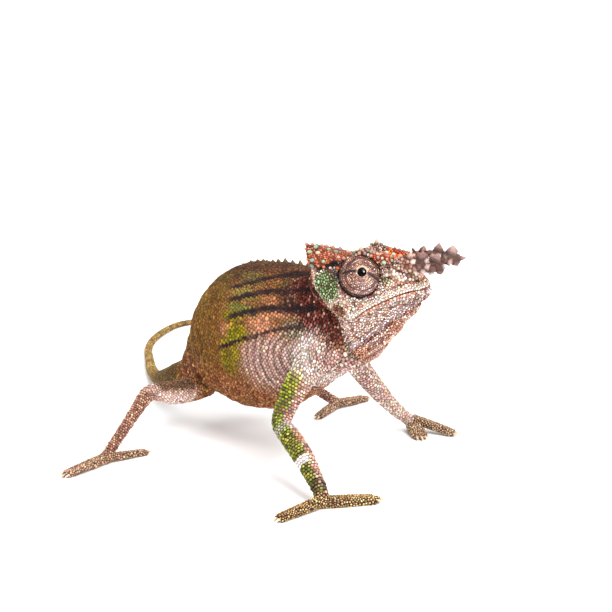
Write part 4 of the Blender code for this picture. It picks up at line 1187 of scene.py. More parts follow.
def scale_mesh(name, spots, patch=PATCH, surface=None):
    """One mesh of small domes or points, each a few dozen faces, with its patch of the skin's unwrap."""
    places, normals, height, point = (spots[key] for key in ("places", "normals", "height", "point"))
    count, sides = spots["room"].shape
    flat_x = np.cos(spots["turns"]) * spots["stretch"][:, None]
    flat_y = np.sin(spots["turns"])
    levels, shares = [], []
    for (wide, up), (wide_cone, up_cone) in zip(ROUND, CONE):
        share = wide + (wide_cone - wide) * point
        tall = np.full(count, 0.5 * up) if up < 0 else (up + (up_cone - up) * point) * height
        reach = spots["room"] * share[:, None]
        spot = places[:, None] + spots["first"][:, None] * (reach * flat_x)[..., None]
        raised = normals[:, None] * tall[:, None, None]
        spot = spot + spots["second"][:, None] * (reach * flat_y)[..., None] + raised
        spot = spot + spots["lean"][:, None] * (max(up, 0) * 0.6)
        levels.append(spot)
        shares.append(wide)
    if surface:
        foot, out = settle(surface, levels[0].reshape(-1, 3))
        levels[0] = (foot - 0.1 * out).reshape(count, sides, 3)
    points = np.concatenate([*levels[:-1], levels[-1][:, :1]], axis=1)
    points[..., 2] = np.maximum(points[..., 2], 0.0)
    each, rings = points.shape[1], len(levels) - 1
    step = np.arange(sides)
    after = (step + 1) % sides
    quads = np.concatenate([
        np.stack([a * sides + step, a * sides + after, (a + 1) * sides + after, (a + 1) * sides + step], 1)
        for a in range(rings - 1)
    ])
    top = (rings - 1) * sides
    fans = np.stack([top + step, top + after, np.full(sides, each - 1)], 1)
    base = (np.arange(count) * each)[:, None, None]
    quads, fans = (quads[None] + base).reshape(-1, 4), (fans[None] + base).reshape(-1, 3)
    mesh = bpy.data.meshes.new(name)
    mesh.vertices.add(count * each)
    mesh.vertices.foreach_set("co", ((points.reshape(-1, 3) - ORIGIN) * MM).astype(np.float32).ravel())
    corners = np.concatenate([quads.ravel(), fans.ravel()]).astype(np.int32)
    mesh.loops.add(len(corners))
    mesh.loops.foreach_set("vertex_index", corners)
    mesh.polygons.add(len(quads) + len(fans))
    starts = np.concatenate([np.arange(len(quads)) * 4, 4 * len(quads) + np.arange(len(fans)) * 3])
    mesh.polygons.foreach_set("loop_start", starts.astype(np.int32))
    mesh.update(calc_edges=True)
    if surface:
        mesh.shade_flat()
    else:
        mesh.shade_smooth()
    reach = np.concatenate([np.repeat(shares[:-1], sides), [0.0]])
    spin = np.concatenate([np.tile(2 * math.pi * step / sides, rings), [0.0]])
    local = patch * np.column_stack([reach * np.cos(spin), reach * np.sin(spin)])
    unwrap = (spots["unwrap"][:, None] + local[None]).reshape(-1, 2)
    layer = mesh.uv_layers.new(name=BAKE_MAP)
    layer.data.foreach_set("uv", unwrap[corners].astype(np.float32).ravel())
    obj = bpy.data.objects.new(name, mesh)
    bpy.context.scene.collection.objects.link(obj)
    # Painted shade at each scale's foot, which blends into the dark colour given for it, and a painted
    # highlight on its tip
    shade = np.concatenate([np.repeat((0.4, 0.86, 1.0), sides), [1.1]])
    colours = spots["tint"][:, None] * shade[None, :, None]
    colours[:, :sides] = 0.3 * colours[:, :sides] + 0.7 * spots["dark"][:, None]
    mottle = np.random.default_rng(SEED + count).normal(1.0, 0.05, (count, each, 1))
    set_tint(obj, (colours * mottle).reshape(-1, 3))
    return obj


def skin_unwrap(skin):
    """A coarser copy of the skin, unwrapped, for the place of each scale's patch."""
    copy = skin.copy()
    copy.data = skin.data.copy()
    bpy.context.scene.collection.objects.link(copy)
    copy.parent = None
    select(copy)
    thin = copy.modifiers.new("thin", "DECIMATE")
    thin.ratio = 0.1
    bpy.ops.object.modifier_apply(modifier="thin")
    bpy.ops.object.mode_set(mode="EDIT")
    bpy.ops.mesh.select_all(action="SELECT")
    bpy.ops.uv.smart_project(angle_limit=math.radians(66), island_margin=0.003)
    bpy.ops.object.mode_set(mode="OBJECT")
    corners = read(copy.data.uv_layers.active.data, "uv", 2)[triangles_of(copy, "loops")].astype(float)
    points, faces = points_of(copy), triangles_of(copy)
    tree = BVHTree.FromPolygons(points.tolist(), faces.tolist(), all_triangles=True)
    bpy.data.objects.remove(copy, do_unlink=True)
    return {"tree": tree, "triangles": points[faces], "corners": corners}


def unwrap_places(unwrap, places):
    """Each place's spot on the skin's unwrap."""
    spots, index = np.empty((len(places), 3)), np.empty(len(places), int)
    for i, place in enumerate(places.tolist()):
        spot, _, face, _ = unwrap["tree"].find_nearest(place)
        spots[i] = spot
        index[i] = face
    a, b, c = np.moveaxis(unwrap["triangles"][index], 1, 0)
    across, up, to = b - a, c - a, spots - a
    d00, d01, d11 = (across**2).sum(1), (across * up).sum(1), (up**2).sum(1)
    d20, d21 = (to * across).sum(1), (to * up).sum(1)
    det = np.maximum(d00 * d11 - d01 * d01, 1e-12)
    v = np.clip((d11 * d20 - d01 * d21) / det, 0, 1)[:, None]
    w = np.clip((d00 * d21 - d01 * d20) / det, 0, 1)[:, None]
    ua, ub, uc = np.moveaxis(unwrap["corners"][index], 1, 0)
    return (1 - v - w) * ua + v * ub + w * uc


def side_hits(surface, side_places, side):
    """Places on the head's skin, seen from its side, that lie at the given x and z of the head's frame."""
    found, out = [], turned([(0, side, 0)])[0]
    for x, z in side_places:
        start = from_head([(x, side * 14.0, z)])[0]
        spot = surface["tree"].ray_cast(Vector(start), Vector(-out))[0]
        if spot is not None:
            found.append(tuple(spot))
    return found


def special_spots(surface):
    """Larger scales in their own places: place, size, height, point, stretch, colour, lean back and slope."""
    rows = []
    rng = np.random.default_rng(SEED + 5)

    def add(places, size, height, point, stretch, colours, lean=0.0, slope=0.0):
        for n, place in enumerate(places):
            grow = rng.uniform(0.85, 1.12)
            shade = colours[n % len(colours)]
            rows.append((*place, size * grow, height * grow, point, stretch, *shade, lean, slope))

    cream, mint, sky = (0.80, 0.68, 0.57), (0.54, 0.62, 0.50), (0.50, 0.58, 0.55)
    salmon, brown, white = (0.76, 0.52, 0.43), (0.42, 0.29, 0.26), (0.92, 0.88, 0.83)
    olive, grey = (0.40, 0.31, 0.15), (0.58, 0.49, 0.48)
    for side in (-1, 1):
        # Round pale studs on the casque's wall
        wall = [(-10.8, 3.3), (-9.8, 2.6), (-8.1, 3.2), (-6.5, 3.0), (-4.6, 3.0)]
        wall += [(-10.3, 1.35), (-7.9, 1.5), (-10.2, 0.4), (-11.7, 2.4), (-5.3, 2.3)]
        studs = (mint, cream, mint, (0.44, 0.50, 0.42), sky, mint, sky, mint, (0.78, 0.58, 0.50), white)
        add(side_hits(surface, wall, side), 1.1, 0.24, 0.0, 1.4, studs)
        # The crest over the eye, and the patch of studs in front of it
        x, y, z, radius = smooth_path(CREST, 19)[2:].T
        for n, place in enumerate(from_head(np.column_stack([x, side * y, z + radius]))):
            peak = 1 - rise(0.5, 1.6, abs(x[n] + 0.4))
            shade = (salmon, cream, brown, grey, mint)[n % 5]
            add([place], 0.7 + 0.3 * peak, 0.33 + 0.3 * peak, 0.8, 1.0, (shade,), 0.15)
        outer = from_head(np.column_stack([x + 0.4, side * (y + 0.75 * radius), z + 0.5 * radius]))
        add(outer, 0.72, 0.35, 0.6, 1.0, (cream, salmon, mint, grey))
        brow = [(2.4, 3.6), (3.7, 3.5), (5.0, 3.35), (3.0, 2.9), (4.3, 2.8), (5.6, 2.7)]
        add(side_hits(surface, brow, side), 1.0, 0.28, 0.15, 1.35, ((0.66, 0.74, 0.62), cream, mint, white))
        # The lateral crest
        edge = smooth_path(CASQUE, 15)[1:13]
        places = from_head(np.column_stack([edge[:, 0], side * edge[:, 3], edge[:, 2] + 0.1]))
        add(places, 0.68, 0.25, 0.6, 1.1, ((0.80, 0.44, 0.28), cream, (0.74, 0.36, 0.20), salmon), 0.2)
        # The lips
        mouth = smooth_path(MOUTH, 29)
        upper = [(x, z + 0.36) for x, z in mouth[2:-2]]
        lower = [(x, z - 0.38) for x, z in mouth[2:-2]]
        add(side_hits(surface, upper, side), 0.56, 0.1, 0.0, 1.3, ((0.98, 0.95, 0.92), white), 0.0, 0.5)
        chin = ((0.88, 0.68, 0.59), (0.82, 0.52, 0.40), (0.92, 0.84, 0.79))
        add(side_hits(surface, lower, side), 0.56, 0.12, 0.0, 1.3, chin, 0.0, 0.5)
        # A few larger scales on the cheek
        cheek = [(-1.6, -5.9), (0.2, -5.4), (-2.6, -4.9), (-4.9, -7.8), (-3.2, -8.6), (-6.4, -6.4)]
        cheek += [(5.2, -1.2), (7.0, -0.6), (3.6, -2.6)]
        add(side_hits(surface, cheek, side), 0.72, 0.2, 0.1, 1.1, (cream, salmon, (0.80, 0.70, 0.64)))
    top = [(x + 0.5 * (y == 0.1), y) for x in (2.6, 3.9, 5.2) for y in (-1.3, 0.1, 1.4)]
    down, studs = Vector((0, 0, -1)), ((0.66, 0.74, 0.62), cream, mint, salmon)
    found = [surface["tree"].ray_cast(Vector(from_head([(x, y, 9.0)])[0]), down)[0] for x, y in top]
    add([tuple(spot) for spot in found if spot], 1.05, 0.32, 0.3, 1.2, studs)
    # The casque's ridge
    ridge = smooth_path(CASQUE, 15)[1:13]
    tops = from_head(np.column_stack([ridge[:, 0], np.zeros(12), ridge[:, 2] + ridge[:, 4]]))
    add(tops, 1.1, 0.55, 1.0, 1.0, (salmon, grey, cream, salmon), 0.2)
    # The small spines along the nape and back
    loft = Loft(TRUNK, 240)
    shades = (olive, brown, (0.34, 0.26, 0.12))
    next_x, last_x = 4.0, -21.0
    for i in range(len(loft.centre)):
        x = loft.centre[i, 0]
        if x > next_x or x < last_x:
            continue
        fade = (x + 24.0) / 28.0
        place = loft.centre[i] + loft.up[i] * loft.above[i]
        add([place], 0.7 + 0.7 * fade, 0.22 + 1.2 * fade**2, 1.0, 1.15, shades, 0.25)
        next_x = x - (0.9 + 0.95 * fade) * rng.uniform(0.85, 1.25)
    return np.array(rows)


class CHAMELEON_OT_scales(bpy.types.Operator):
    """Lay the scales over the skin, each shaped to the room between its neighbours"""

    bl_idname = "chameleon.scales"
    bl_label = "Scales"

    def execute(self, context):
        if "skin" not in made:
            raise RuntimeError("Build the skin before its scales")
        skin, tone = made["skin"], Tone(context.scene.chameleon_colours)
        rng = np.random.default_rng(SEED)
        surface = surface_of(skin)
        special = special_spots(surface)
        places, groups = candidates(surface, special[:, :3], rng)
        places, normals = settle(surface, places)
        survey = Survey(places, normals)
        size = style(survey)["size"]
        size[groups == FIXED] = special[:, 3]
        size[groups == LARGE] *= 1.55
        # On the head and feet there are no rows, and none lie under the lids
        wanted = ~((groups == ROWS) & ((survey.on_head > 0.5) | (survey.on_foot > 0.5)))
        temple = egg(survey.head[:, (0, 2)], *TEMPLE, 0.15) * survey.on_head
        low = egg(places[:, (0, 2)], (-2.5, 19.5), (9.0, 6.0), 0.3)
        plain = (survey.on_leg < 0.5) & (survey.on_tail < 0.5) & (np.maximum(temple, low) < 0.3)
        wanted &= (groups != LARGE) | plain
        wanted &= survey.eye > LID_ROOM
        wanted |= groups == FIXED
        order = np.flatnonzero(wanted)
        kept = order[kept_apart(places[order], size[order], 0.8)]
        places, size, groups = places[kept], size[kept], groups[kept]
        fixed = groups == FIXED
        moved, _ = eased(surface, places, size, 2)
        moved[fixed] = places[fixed]
        places, normals = settle(surface, moved)
        survey = Survey(places, normals)
        look = style(survey)
        size = np.where(fixed, size, size * rng.lognormal(0, 0.12, len(size)))
        chance = rng.random(len(places))
        tint = markings(survey, chance, tone)
        tint = tint * rng.normal(1.0, 0.09, (len(places), 1)) * rng.normal(1.0, 0.03, (len(places), 3))
        lean = np.zeros_like(places)
        mine = special[kept[fixed]]
        for column, key in enumerate(("height", "point", "stretch"), 4):
            look[key][fixed] = mine[:, column]
        look["height"][groups == LARGE] *= 1.35
        look["gap"][fixed] = 0.06
        tint[fixed] = mine[:, 7:10]
        lean[fixed] = np.array((-1.0, 0, 0)) * mine[:, 10:11]
        axes = np.tile((0.02, 0.0, 1.0), (len(places), 1))
        axes[survey.on_tail > 0.5] = (1.0, 0.05, 0.02)
        jaw = (survey.on_head > 0.5) & (below_mouth(survey.head) < -1.2)
        axes[jaw] = turned([(1.0, 0.0, 0.85)])
        axes[fixed] = np.column_stack([np.ones(len(mine)), 0.05 * np.ones(len(mine)), mine[:, 11]])
        on_leg = survey.on_leg > 0.5
        axes[on_leg] = np.cross(survey.along_leg[on_leg], normals[on_leg])
        spots = outlines(places, normals, size, axes, look["stretch"], SCALE_SIDES, look["gap"], rng)
        spots.update({
            "point": look["point"], "height": look["height"] * rng.uniform(0.85, 1.15, len(places)),
            # each scale's foot takes the net's colour, partly painted shade
            "lean": lean, "tint": np.clip(tint, 0, 1), "dark": net_and_shade_colour(survey, tint),
            "unwrap": unwrap_places(skin_unwrap(skin), places),
        })
        finish = material("scales", 0.6, 0.35, 0.16, 0.10, specular=0.12)
        below, head = below_mouth(survey.head) < 0, survey.on_head > 0.5
        right = places[:, 1] < np.where(head, HEAD_AT[1], 0)
        # Each region's number is its place in COAT_PIECES
        region = np.where(head, np.where(below, 2, np.where(right, 0, 1)), np.where(right, 3, 4))
        region = np.where(survey.on_tail > 0.5, 7, region)
        region = np.where(on_leg, np.where(survey.leg < 2, 5, 6), region)
        for number, name in enumerate(COAT_PIECES):
            some = region == number
            piece = scale_mesh(name, {key: value[some] for key, value in spots.items()})
            adopt(piece, "skin", finish)
        return {"FINISHED"}


def candidates(surface, fixed, rng):
    """Places where a scale may lie, by order of choice: fixed, scattered large ones, rows and loose ones."""
    large, _ = scattered(surface, 9000, rng)
    large = large[kept_apart(large, np.full(len(large), 1.75), 1.0)]
    rows = [in_rows(Loft(TRUNK, 60), 0.6, 6, 57), in_rows(tail_loft(), 0.44, 12, 198)]
    for name, (path, _, _, _) in LEGS.items():
        size = 0.66 if name.startswith("front") else 0.5
        rows.append(in_rows(leg_loft(path), size, 10, 55))
    rows = np.concatenate(rows)
    snapped, _ = settle(surface, rows)
    snapped = snapped[np.linalg.norm(snapped - rows, axis=1) < 0.5]
    snapped = snapped + rng.normal(0, 0.04, snapped.shape)
    loose, _ = scattered(surface, 190000, rng)
    parts = (fixed, large, snapped, loose)
    return np.concatenate(parts), np.repeat((FIXED, LARGE, ROWS, LOOSE), [len(part) for part in parts])


def net_and_shade_colour(survey, tint):
    """The colour of the lines between scales: a darker, redder tone of the scales round them, partly their
    own net, partly painted shade.
    """
    p, h = survey.points, survey.head
    bright = rise(0.35, 0.85, tint.mean(axis=1))[:, None]
    net = tint * (0.2 + (0.44, 0.38, 0.36) * bright) + (0.05, 0.02, 0.02)
    net = paint(net, tint * 0.72, (1 - survey.on_head) * (1 - survey.on_leg) * rise(5.0, -3.0, p[:, 0]) * 0.7)
    side_view = h[:, (0, 2)]
    on_head = survey.on_head
    net = paint(net, (0.30, 0.15, 0.11), egg(side_view, *TEMPLE, 0.2) * on_head * 0.9)
    net = paint(net, (0.42, 0.16, 0.09), casque_wall(h) * on_head * 0.8)
    net = paint(net, (0.46, 0.14, 0.06), front_brow(survey) * on_head * 0.8)
    share, fore = survey.share, survey.on_leg * (survey.leg < 2)
    middle = fore * rise(0.26, 0.32, share) * (1 - rise(0.44, 0.5, share))
    net = paint(
        net, (0.42, 0.31, 0.30), np.maximum(middle * 0.6, fore * (1 - rise(0.26, 0.32, share)) * 0.35)
    )
    net = paint(net, (0.12, 0.05, 0.05), survey.on_foot * fore * np.where(survey.leg == 1, 0.15, 0.8))
    # Painted shadow in the groove round each eye
    return np.clip(paint(net, (0.10, 0.04, 0.04), 1 - rise(4.1, 4.4, survey.eye)), 0, 1)


COAT_PIECES = (
    "scales_head_right",
    "scales_head_left",
    "scales_throat",
    "scales_trunk_right",
    "scales_trunk_left",
    "scales_forelegs",
    "scales_hindlegs",
    "scales_tail",
)


# Eyes


def eye_frame(side):
    """The eye's centre, the way it looks, and the ways forward and up across that."""
    centre = from_head([np.multiply(EYE_AT, (1, side, 1))])[0]
    look = turned(unit(np.array([np.multiply(GAZE, (1, side, 1))])))[0]
    forward = turned([(1.0, 0, 0)])[0]
    forward = unit(forward - look * (forward @ look))
    up = unit(np.cross(look, forward) * -side)
    return centre, look, forward, up


def round_pupil(frame_of_eye, away, turn):
    """Directions from the eye's centre, away from where it looks by degrees, and across that at the turn."""
    _, look, forward, up = frame_of_eye
    spoke = np.cos(turn)[:, None] * forward + np.sin(turn)[:, None] * up
    return np.cos(np.radians(away))[:, None] * look + np.sin(np.radians(away))[:, None] * spoke, spoke


def lid_markings(ahead, over, chance):
    """The lid's colours, by degrees ahead of and over the pupil."""
    away = np.hypot(ahead, over)
    colour = Layers(chance, (0.30, 0.14, 0.11), (0.60, 0.38, 0.31), (0.79, 0.58, 0.49), (0.93, 0.81, 0.73))
    lilac = ramp(chance, (0.56, 0.38, 0.37), (0.80, 0.64, 0.61), (0.92, 0.81, 0.79))
    colour.lay(rise(10.0, 30.0, -over) * rise(-40.0, 10.0, ahead) * 0.8, lilac)
    cream = ramp(chance, (0.52, 0.36, 0.22), (0.76, 0.60, 0.42), (0.88, 0.78, 0.62))
    colour.lay(rise(20.0, 50.0, over) * rise(-10.0, 25.0, ahead) * 0.8, cream)
    front = rise(6.0, 16.0, -over) * rise(2.0, 20.0, ahead) * (1 - rise(38.0, 50.0, away))
    colour.lay(front * 0.55, (0.93, 0.80, 0.72))
    rear = rise(22.0, 50.0, -ahead) * (1 - rise(10.0, 34.0, np.abs(over - 4.0)))
    colour.lay(rear * 0.5, (0.30, 0.14, 0.10))
    colour.lay((1 - rise(15.0, 21.0, away)) * rise(-9.0, 2.0, over) * 0.9, (0.88, 0.76, 0.66))
    # The dark bar ahead of and behind the opening, and the dark rings round it
    bar = over + 0.0035 * ahead**2 - 1.0
    reach = np.abs(ahead)
    bar = (1 - rise(2.2, 5.0, np.abs(bar))) * rise(11.0, 14.0, reach) * (1 - rise(52.0, 68.0, reach))
    colour.lay(bar * 0.95, (0.12, 0.05, 0.05))
    for ring, strength in ((26.0, 0.5), (33.0, 0.5), (40.0, 0.75), (47.0, 0.85), (55.0, 1.0)):
        ring = 1 - rise(0.8, 2.6, np.abs(away - ring - 0.04 * over))
        colour.lay(ring * strength * (0.6 + 0.4 * rise(-30.0, 20.0, over)), (0.18, 0.08, 0.07))
    border = ramp(chance, (0.10, 0.05, 0.05), (0.34, 0.22, 0.19))
    return paint(colour.seen, border, rise(66.0, 76.0, away) * 0.9)


def lid_profile(away):
    """The lid's radius by degrees from the pupil: a low cone with fine rings, and a rim round the opening."""
    rim = 0.14 * np.exp(-(((away - 13.6) / 2.2) ** 2))
    cone = 0.22 * np.exp(-((away / 26.0) ** 2))
    rings = 0.03 * np.cos(2 * math.pi * away / 5.6)
    fold = -0.14 * np.exp(-(((away - 55.0) / 1.8) ** 2))
    return EYE_RADIUS - 0.16 + cone + rim + rings + fold - 1.0 * (1 - rise(9.8, 12.2, away))


def lid_unwrap(away, turn):
    """The lid laid flat round its opening."""
    reach = away / 372
    return np.column_stack([0.5 + reach * np.cos(turn), 0.5 + reach * np.sin(turn)])


def set_unwrap(obj, places):
    """Gives the object one bake map, from a place for each vertex."""
    for layer in list(obj.data.uv_layers):
        obj.data.uv_layers.remove(layer)
    corners = read(obj.data.loops, "vertex_index", 1, np.int32)[:, 0]
    layer = obj.data.uv_layers.new(name=BAKE_MAP)
    layer.data.foreach_set("uv", places[corners].astype(np.float32).ravel())


class CHAMELEON_OT_lids(bpy.types.Operator):
    """Build the domed, scaly lids, each with a small round opening"""

    bl_idname = "chameleon.lids"
    bl_label = "Eyelids"

    def execute(self, context):
        finish = material("eyelid_skin", 0.55, 0.4, 0.14, 0.12, specular=0.25)
        for side, word in SIDES:
            rng = np.random.default_rng(SEED + side + 20)
            eye = eye_frame(side)
            centre = eye[0]
            dome = ball_object("dome", centre, EYE_RADIUS, segments=96, rings=72)
            # The sphere's pole is turned to the pupil, so that its rings run round the opening
            direction = unit(points_of(dome) - centre)
            away = np.degrees(np.arccos(np.clip(direction[:, 2], -1, 1)))
            turn = np.arctan2(direction[:, 1], direction[:, 0])
            points, _ = round_pupil(eye, away, turn)
            set_points(dome, centre + points * lid_profile(away)[:, None])
            outward(dome)
            tint = lid_markings(away * np.cos(turn), away * np.sin(turn), np.full(len(away), 0.4))
            rim = (1 - rise(14.0, 16.0, away)) * rise(11.5, 12.5, away)
            # The dome shows between the granules, darkened as painted shade, with a pale ring round the
            # opening
            set_tint(dome, paint(tint * 0.6, (0.78, 0.62, 0.52), rim))
            set_unwrap(dome, lid_unwrap(away, turn))
            dome.data.shade_smooth()
            rows = []
            ring, last = LID_RINGS
            while ring < last:
                size = 0.24 + 0.14 * rise(14.0, 45.0, ring)
                count = int(2 * math.pi * EYE_RADIUS * math.sin(math.radians(ring)) / size)
                spin = (np.arange(count) + rng.random()) * 2 * math.pi / count
                rows.append(np.column_stack([ring + rng.normal(0, 0.4, count), spin, np.full(count, size)]))
                ring += math.degrees(0.98 * size / EYE_RADIUS)
            away, turn, sizes = np.concatenate(rows).T
            normals, spoke = round_pupil(eye, away, turn)
            spots = centre + normals * lid_profile(away)[:, None]
            shown = to_head(spots)[:, 1] * side > 2.0
            away, turn, sizes, normals, spots, spoke = (
                a[shown] for a in (away, turn, sizes, normals, spots, spoke)
            )
            tint = lid_markings(away * np.cos(turn), away * np.sin(turn), rng.random(len(spots)))
            tint = np.clip(tint * rng.lognormal(0.02, 0.15, (len(spots), 1)), 0, 1)
            ones = np.ones(len(spots))
            outline = outlines(
                spots, normals, sizes, np.cross(normals, spoke), 1.1 * ones, SCALE_SIDES, 0.05, rng
            )
            outline.update({
                "point": 0.3 * ones, "height": rng.uniform(0.05, 0.13, len(spots)),
                # the granules' dark colour, for their feet, is painted shade
                "lean": np.zeros_like(spots), "tint": tint, "dark": tint * 0.55,
                "unwrap": lid_unwrap(away, turn),
            })
            lid = joined([dome, scale_mesh("lid_scales", outline)], f"eyelid_{word}")
            adopt(lid, "eyelid_skin", finish, f"eye_turret_{word}")
        return {"FINISHED"}


def outward(obj):
    """Turns the object's faces to point out."""
    select(obj)
    bpy.ops.object.mode_set(mode="EDIT")
    bpy.ops.mesh.select_all(action="SELECT")
    bpy.ops.mesh.normals_make_consistent(inside=False)
    bpy.ops.object.mode_set(mode="OBJECT")


class CHAMELEON_OT_eyes(bpy.types.Operator):
    """Build the eyeballs, of which only the pupil shows in its small opening"""

    bl_idname = "chameleon.eyes"
    bl_label = "Eyeballs"

    def execute(self, context):
        finish = eye_material()
        for side, word in SIDES:
            centre, look, _, _ = eye_frame(side)
            size = context.scene.chameleon_shape.eyeball_radius / MM
            middle = centre + look * (EYE_RADIUS + 0.06 - size)
            eye = ball_object(f"eyeball_{word}", middle, size, segments=48, rings=32)
            aside = unit(points_of(eye) - middle)
            edge = np.degrees(np.arccos(np.clip(aside @ look, -1, 1)))
            ring = rise(31.0, 34.0, edge)[:, None]
            set_tint(eye, (1 - ring) * np.array((0.004, 0.004, 0.006)) + ring * np.array((0.16, 0.07, 0.05)))
            eye.data.shade_smooth()
            adopt(eye, "eye", finish, f"eye_{word}")
        return {"FINISHED"}


# Horns and claws


class CHAMELEON_OT_horns(bpy.types.Operator):
    """Build the two flat horns, set with large five-sided points"""

    bl_idname = "chameleon.horns"
    bl_label = "Horns"

    def execute(self, context):
        finish = material("horn_scales", 0.5, 0.8, 0.3, 0.26, specular=0.25)
        for side, word in SIDES:
            rng = np.random.default_rng(SEED + side + 30)
            steps, sides = 40, 24
            path = [(x, side * y, z, thin - 0.1, high - 0.1, high - 0.1) for x, y, z, thin, high in HORN]
            path[-1] = (HORN_ROOT_X + HORN_LENGTH - 0.5, side * 3.65, 3.25, 0.45, 0.7, 0.7)
            loft = Loft(path, steps, 1.7, head=True)
            middle = loft.along[steps // 2]
            blade = loft_object("blade", loft.rings(sides))
            share = np.repeat(np.linspace(0, 1, steps), sides)
            spin = np.tile(np.arange(sides) / sides, steps)
            set_tint(blade, np.tile((0.34, 0.22, 0.19), (len(share), 1)))
            set_unwrap(blade, 0.1 + 0.8 * np.column_stack([share, spin]))
            blade.data.shade_smooth()
            outward(blade)
            surface = surface_of(blade)
            # The point at the tip, and those in their own places
            rows = [(*loft.centre[-1], 1.8, 1.2, 1.0, 0.5)]
            for at, spin, size, height in HORN_POINTS:
                place = loft.ring(int((steps - 1) * at), np.radians([spin + rng.uniform(-3, 3)]))[0]
                rows.append((*place, size, height * rng.uniform(0.95, 1.05), at, spin / 360))
            # Others wherever there is room, smallest at the root
            for place in scattered(surface, 1500, rng)[0]:
                nearest = np.linalg.norm(loft.centre - place, axis=1).argmin()
                away, at = place - loft.centre[nearest], nearest / (steps - 1)
                size = 0.8 + 0.9 * rise(0.05, 0.45, at) - 0.35 * rise(0.75, 1.0, at)
                size = size * rng.uniform(0.75, 1.1)
                spin = math.atan2(away @ loft.up[nearest], away @ loft.side[nearest]) / (2 * math.pi) % 1
                rows.append((*place, size, 0.36 * size * rng.uniform(0.8, 1.2), at, spin))
            rows = np.array(rows)
            rows = rows[kept_apart(rows[:, :3], rows[:, 3], 0.65)]
            spots, normals = settle(surface, rows[:, :3])
            normals = unit(normals + 0.25 * middle)
            normals[0] = unit(loft.along[-1] + 0.1 * loft.up[-1])
            chance = rng.random(len(spots))
            shades = (0.33, 0.20, 0.17), (0.55, 0.41, 0.38), (0.74, 0.63, 0.60), (0.94, 0.89, 0.89)
            tint = Layers(chance, *shades)
            local = to_head(spots)
            tint.lay(rise(0.6, 1.4, 2.9 - local[:, 2]) * 0.7, (0.66, 0.46, 0.38), (0.84, 0.70, 0.60))
            root = 1 - rise(8.6, 11.5, local[:, 0])
            tint.lay(root, (0.42, 0.23, 0.17), (0.66, 0.46, 0.38), (0.83, 0.69, 0.62))
            ones = np.ones(len(spots))
            axes = np.tile(middle, (len(spots), 1))
            outline = outlines(spots, normals, rows[:, 3], axes, ones, 5, 0.04, rng)
            # The points' feet run into one another, so that no bare horn shows between them
            outline["room"] *= 1.38
            outline.update({
                "point": 1.05 * ones, "height": rows[:, 4], "lean": np.tile(0.15 * middle, (len(spots), 1)),
                # the points' dark colour, for their feet, is painted shade
                "tint": tint.seen, "dark": tint.seen * 0.3, "unwrap": 0.1 + 0.8 * rows[:, 5:7],
            })
            scales = scale_mesh("horn_points", outline, 0.02, surface)
            horn = joined([blade, scales], f"horn_scales_{word}")
            adopt(horn, "horn_scales", finish, f"horn_{word}")
        return {"FINISHED"}


class CHAMELEON_OT_claws(bpy.types.Operator):
    """Build the small curved claws, one on each toe"""

    bl_idname = "chameleon.claws"
    bl_label = "Claws"

    def execute(self, context):
        length = context.scene.chameleon_shape.claw_length / MM
        finish = material("claw", 0.32, 0.2, 0.3, 0.08, coat=0.3, specular=0.5)
        claws, steps, sides = [], 14, 10
        for name in LEG_NAMES:
            thick = LEGS[name][2]
            for rows, along in toe_paths(name):
                tip = np.array(rows[-1][:3]) - along * 0.35
                path = []
                for t in np.linspace(0, 1, 9):
                    drop = 0.25 * thick * math.sin(math.pi * t) - (tip[2] - 0.12) * t**1.6
                    spot = tip + along * length * t + np.array((0, 0, drop))
                    path.append((*spot, max(0.42 * thick * (1 - t) ** 0.8, 0.04)))
                claw = loft_object("claw", Loft(path, steps, ELLIPSE).rings(sides))
                share = np.repeat(np.linspace(0, 1, steps), sides)
                tint = paint(np.tile((0.72, 0.58, 0.44), (steps * sides, 1)), (0.90, 0.84, 0.74), share)
                set_tint(claw, tint)
                claws.append(claw)
        claws = joined(claws, "claws")
        outward(claws)
        points = points_of(claws)
        points[:, 2] = np.maximum(points[:, 2], 0.0)
        set_points(claws, points)
        claws.data.shade_smooth()
        adopt(claws, "horn_scales", finish)
        return {"FINISHED"}


# Stage


def direction_to(azimuth, elevation):
    """The way to a lamp or camera at these angles, in degrees."""
    a, e = math.radians(azimuth), math.radians(elevation)
    return Vector((math.sin(a) * math.cos(e), -math.cos(a) * math.cos(e), math.sin(e)))


